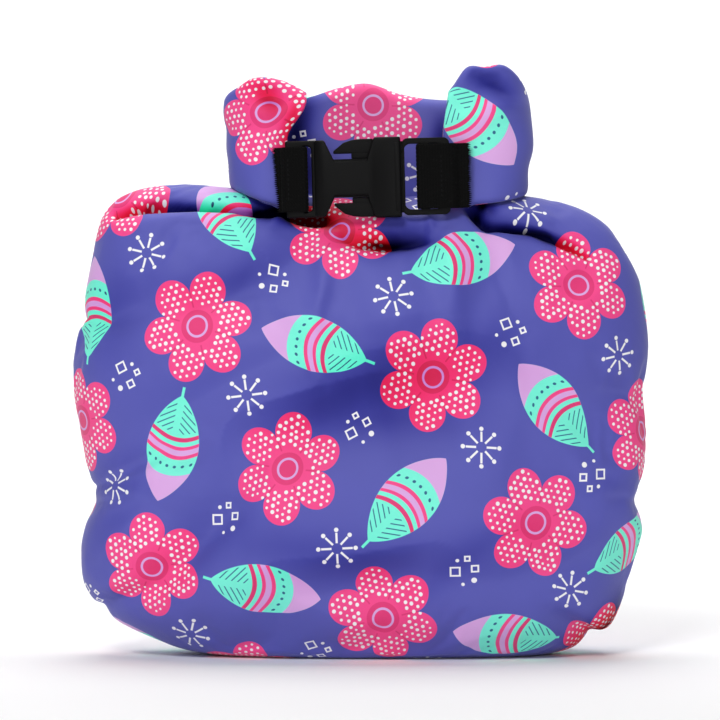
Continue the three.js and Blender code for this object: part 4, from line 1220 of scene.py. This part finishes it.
def makePlug():
    b = buckle
    bar = b["barThickness"] / 2
    half = b["frameHeight"] / 2
    outside = b["height"] / 2 - b["wall"] - 0.3
    room = b["thickness"] / 2 - b["wall"] - 0.3
    frameBar = block("bucklePlug", b["plugLeft"], b["right"], -bar, bar, -half, half)
    pick(frameBar)
    bpy.ops.object.mode_set(mode="EDIT")
    bpy.ops.mesh.select_mode(type="EDGE")
    bpy.ops.mesh.select_all(action="DESELECT")
    bpy.ops.object.mode_set(mode="OBJECT")
    for edge in frameBar.data.edges:
        a, c = (frameBar.data.vertices[v].co for v in edge.vertices)
        edge.select = abs(a.x - c.x) < 1e-6 and abs(a.z - c.z) < 1e-6
    bpy.ops.object.mode_set(mode="EDIT")
    bpy.ops.mesh.bevel(offset=2.4 * millimetre, segments=6)
    bpy.ops.object.mode_set(mode="OBJECT")
    cut(frameBar, slotTool(b["plugLeft"] + 0.9, b["plugSlotRight"], b["slotHeight"], 2.6, 0.3))
    cut(frameBar, slotTool(b["outerSlotLeft"], b["outerSlotRight"], b["slotHeight"], 0.8, 0.8))
    roundEdges(frameBar, 0.7, 3)
    neckEnds = b["mouth"] - 1.5, b["plugLeft"] + 1.1
    join(frameBar, block("neck", *neckEnds, -bar + 0.1, bar - 0.1, -outside, outside))
    guide = block("guide", b["neckRight"] + 1.5, b["mouth"] - 1, -room, room, -4, 4)
    cutAlong(guide, (b["neckRight"] + 3.5,))
    resizeAt(guide, b["neckRight"] + 1.5, (1, 1, 0.5))
    roundEdges(guide, 0.4, 2)
    join(frameBar, guide)
    for side in (1, -1):
        # spring arm with its head, whose tip looks out of the side window
        waist = b["waist"] / 2
        tip = b["neckRight"] - 0.3
        inner = waist + b["armSlit"]
        head = block("head", tip, b["bandLeft"] - 0.3, -room, room, inner, b["height"] / 2 - 0.5)
        cutAlong(head, (tip + 4, tip + 7.1, b["windowRight"] - 3))
        for vertex in head.data.vertices:
            x, z = vertex.co.x / millimetre, vertex.co.z / millimetre
            if z > inner + 0.1:
                if abs(x - tip) < 0.01:
                    vertex.co.z = (inner + 1.0) * millimetre
                elif abs(x - tip - 4) < 0.01:
                    vertex.co.z = (inner + 4.2) * millimetre
                elif abs(x - tip - 7.1) < 0.01:
                    vertex.co.z = (b["height"] / 2 - 0.9) * millimetre
        roundEdges(head, 0.45, 3)
        shank = block("shank", tip + 7.1, b["plugLeft"] + 0.5, -room + 0.2, room - 0.2, outside - 4, outside)
        footEnds = tip + 7.1, b["windowRight"] + 1.2
        foot = block("foot", *footEnds, -room + 0.15, room - 0.15, waist + 0.7, outside - 2)
        roundEdges(shank, 0.3, 2)
        roundEdges(foot, 0.3, 2)
        for part in (head, foot, shank):
            if side < 0:
                pick(part)
                part.scale.z = -1
                bpy.ops.object.transform_apply(location=False, rotation=False, scale=True)
                turnFacesOut(part)
            join(frameBar, part)
    return frameBar


# ribbed webbing, sewn round the bars; side -1 is the socket's tab, 1 the plug's
webbing = {
    "width": 25.5,
    "thickness": 1.3,
    "seat": 0.3,
    "cords": 16,
    "teeth": {"deep": 0.62, "least": -0.22, "most": 0.24},  # of the cut end, two to a cord
    "stitches": {"count": 9, "pitch": 1.9, "size": (0.42, 0.26, 1.35), "proud": 0.02},
    "tabs": [
        {"name": "webbing_left", "side": -1, "barEnd": -32.3, "bar": 7.2, "length": 4.0, "lean": 1.7,
         "stitchesAt": -1.0, "seed": 5},
        {"name": "webbing_right", "side": 1, "barEnd": 32.3, "bar": 11.6, "length": 7.8, "lean": 0.3,
         "stitchesAt": -3.4, "seed": 9},
    ],
}


def tabLine(tab):
    # the webbing's middle line seen from above, from its front cut end to its back one
    side, bar = tab["side"], buckle["barThickness"] / 2
    lift = webbing["seat"] + webbing["thickness"] / 2
    backLeg = bar + lift
    frontLeg = backLeg - webbing["thickness"] - webbing["seat"]
    turn = tab["barEnd"] - side * tab["bar"]
    line = [(tab["barEnd"] + side * tab["length"] * share, frontLeg) for share in (1, 0.8, 0.6, 0.45)]
    line += [(tab["barEnd"] + side * tab["length"] * (0.08 + 0.37 * (1 - t)),
              frontLeg + (-bar - lift - frontLeg) * (t * t * (3 - 2 * t))) for t in (0.2, 0.4, 0.6, 0.8, 1)]
    line += [(tab["barEnd"] - side * tab["bar"] * share, -bar - lift) for share in (0.15, 0.35, 0.6, 0.85)]
    for face, start in ((-1, -90), (1, 0)):
        for degrees in range(start, start + 91, 15):
            angle = math.radians(degrees)
            line.append((turn - side * lift * math.cos(angle), face * bar + lift * math.sin(angle)))
    line += [(tab["barEnd"] - side * tab["bar"] * share, backLeg) for share in (0.85, 0.5, 0.15)]
    line += [(tab["barEnd"] + side * (tab["length"] - 1) * share, backLeg) for share in (0.3, 0.65, 1)]
    return np.array(line)


def makeWebbing(tab):
    line = tabLine(tab)
    way = np.gradient(line, axis=0)
    way /= np.linalg.norm(way, axis=1, keepdims=True)
    side = besideWay(way)
    reach = reachAlong(line)
    steps = webbing["cords"] * 8
    z = np.linspace(-webbing["width"] / 2, webbing["width"] / 2, steps + 1)
    cord = z / webbing["width"] * webbing["cords"]
    # round cords side by side, and thinner selvedges
    half = webbing["thickness"] / 2 - 0.13 + 0.13 * np.abs(np.cos(math.pi * cord))
    half *= 1 - 0.65 * smoothStep(np.abs(z), webbing["width"] / 2 - 0.6, webbing["width"] / 2)
    random = np.random.default_rng(tab["seed"])
    cutEnd = webbing["teeth"]
    teeth = np.repeat(random.uniform(cutEnd["least"], cutEnd["most"], webbing["cords"] * 2), 4)
    teeth = np.append(teeth, teeth[-1]) + cutEnd["deep"] * np.cos(4 * math.pi * cord)
    slant = tab["lean"] * z / webbing["width"]
    verts, faces, maps = [], [], []
    rings = len(line)
    for layer in (1, -1):
        for i in range(rings):
            for j in range(steps + 1):
                push = teeth[j] + slant[j] if i == 0 else (slant[j] * max(0, 1 - i / 5))
                x = line[i, 0] + side[i, 0] * layer * half[j] - way[i, 0] * push
                y = line[i, 1] + side[i, 1] * layer * half[j] - way[i, 1] * push * 0.3
                verts.append((x * millimetre, y * millimetre, z[j] * millimetre))
    def number(layer, i, j):
        return (layer * rings + i) * (steps + 1) + j
    def quad(corners):
        faces.append([number(*c) for c in corners])
        maps.extend((reach[c[1]] * millimetre, z[c[2]] * millimetre) for c in corners)
    for i in range(rings - 1):
        for j in range(steps):
            quad([(0, i, j), (0, i, j + 1), (0, i + 1, j + 1), (0, i + 1, j)])
            quad([(1, i, j), (1, i + 1, j), (1, i + 1, j + 1), (1, i, j + 1)])
        quad([(0, i, 0), (0, i + 1, 0), (1, i + 1, 0), (1, i, 0)])
        quad([(0, i, steps), (1, i, steps), (1, i + 1, steps), (0, i + 1, steps)])
    for j in range(steps):
        quad([(0, 0, j), (1, 0, j), (1, 0, j + 1), (0, 0, j + 1)])
        quad([(0, rings - 1, j), (0, rings - 1, j + 1), (1, rings - 1, j + 1), (1, rings - 1, j)])
    piece = meshPiece(tab["name"] + "_woven", verts, faces, maps)
    turnFacesOut(piece)
    return piece


def makeStitches(tab):
    # one row of stitches that shows on the front of the tab
    row = webbing["stitches"]
    lift = webbing["seat"] + webbing["thickness"]
    x = tab["barEnd"] + tab["side"] * tab["stitchesAt"]
    y = -buckle["barThickness"] / 2 - lift + row["proud"]
    pieces = []
    for k in range(row["count"]):
        deselectAll()
        bpy.ops.mesh.primitive_uv_sphere_add(segments=8, ring_count=6, radius=0.5)
        stitch = bpy.context.object
        stitch.scale = [side * millimetre for side in row["size"]]
        z = (k - row["count"] // 2) * row["pitch"]
        stitch.location = (x * millimetre, y * millimetre, z * millimetre)
        bpy.ops.object.transform_apply(location=True, rotation=True, scale=True)
        pieces.append(stitch)
    for stitch in pieces:
        stitch.select_set(True)
    bpy.context.view_layer.objects.active = pieces[0]
    bpy.ops.object.join()
    joined = bpy.context.object
    joined.name = tab["name"] + "_stitches"
    return joined


def blackPlastic():
    material, tree, shader = newMaterial("blackPlastic")
    shader.inputs["Base Color"].default_value = (0.0036, 0.0036, 0.0038, 1)
    shader.inputs["Roughness"].default_value = 0.46
    shader.inputs["Specular IOR Level"].default_value = 0.08
    place = tree.nodes.new("ShaderNodeTexCoord")
    grain = tree.nodes.new("ShaderNodeTexNoise")
    grain.inputs["Scale"].default_value = 2600
    grain.inputs["Detail"].default_value = 2
    tree.links.new(place.outputs["Object"], grain.inputs["Vector"])
    addBump(tree, shader, grain.outputs["Fac"], 0.25, 0.00004)
    return material


def blackWebbing():
    material, tree, shader = newMaterial("blackWebbing")
    m = NodeMaths(tree)
    shader.inputs["Roughness"].default_value = 0.8
    shader.inputs["Specular IOR Level"].default_value = 0.03
    shader.inputs["Sheen Weight"].default_value = 0.01
    uv = tree.nodes.new("ShaderNodeUVMap")
    uv.uv_map = "clothMap"
    parts = tree.nodes.new("ShaderNodeSeparateXYZ")
    tree.links.new(uv.outputs[0], parts.inputs[0])
    # filling threads cross each cord in turn
    along = m("MULTIPLY", parts.outputs[0], 2 * math.pi / 0.0011)
    across = m("MULTIPLY", parts.outputs[1], math.pi / 0.001575)
    weave = m("MULTIPLY", m("SINE", m("ADD", along, across)), m("COSINE", across))
    height = m("MULTIPLY", weave, 0.5)
    addBump(tree, shader, height, 0.5, 0.00012)
    # the colour follows the weave's height: painted shade between the threads
    shade = m("ADD", m("MULTIPLY", weave, 0.0011), 0.0042)
    joined = tree.nodes.new("ShaderNodeCombineColor")
    for k in range(3):
        tree.links.new(shade, joined.inputs[k])
    tree.links.new(joined.outputs[0], shader.inputs["Base Color"])
    return material


def blackThread():
    material, tree, shader = newMaterial("blackThread")
    shader.inputs["Roughness"].default_value = 0.6
    shader.inputs["Specular IOR Level"].default_value = 0.06
    place = tree.nodes.new("ShaderNodeTexCoord")
    twist = tree.nodes.new("ShaderNodeTexWave")
    twist.bands_direction = "DIAGONAL"
    twist.inputs["Scale"].default_value = 900
    tree.links.new(place.outputs["Object"], twist.inputs["Vector"])
    m = NodeMaths(tree)
    tree.links.new(m.colour(twist.outputs["Fac"], (0.005, 0.005, 0.0055), (0.01, 0.01, 0.011)),
                   shader.inputs["Base Color"])
    return material


def finishCloth(piece, material):
    piece.data.materials.append(material)
    piece.data.shade_smooth()
    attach(piece, "root")


setUpCamera()
setUpStudio()
print("camera and studio ready")

clothMaterial = printedCloth()
bagPouch = makePouch()
letClothSettle(bagPouch)
applyModifier(bagPouch, "SUBSURF", levels=1, render_levels=1)
pressCreases(bagPouch)
finishCloth(bagPouch, clothMaterial)
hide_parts("bag_shell")
print("pouch ready", len(bagPouch.data.polygons), "faces")

rolledCollar, collarCut = makeCollar()
finishCloth(rolledCollar, clothMaterial)
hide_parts("bag_shell")
print("collar cut", [round(c, 3) for c in collarCut])
print("collar ready", len(rolledCollar.data.polygons), "faces")

plastic = blackPlastic()
socket = makeSocket()
plug = makePlug()
placeBuckleParts([socket, plug], plastic)
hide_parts("buckle_socket")
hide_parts("buckle_plug")
print("buckle ready", len(socket.data.polygons) + len(plug.data.polygons), "faces")

woven = blackWebbing()
thread = blackThread()
for tab in webbing["tabs"]:
    band = makeWebbing(tab)
    stitches = makeStitches(tab)
    placeBuckleParts([band], woven)
    placeBuckleParts([stitches], thread)
    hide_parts(tab["name"])
print("webbing ready")
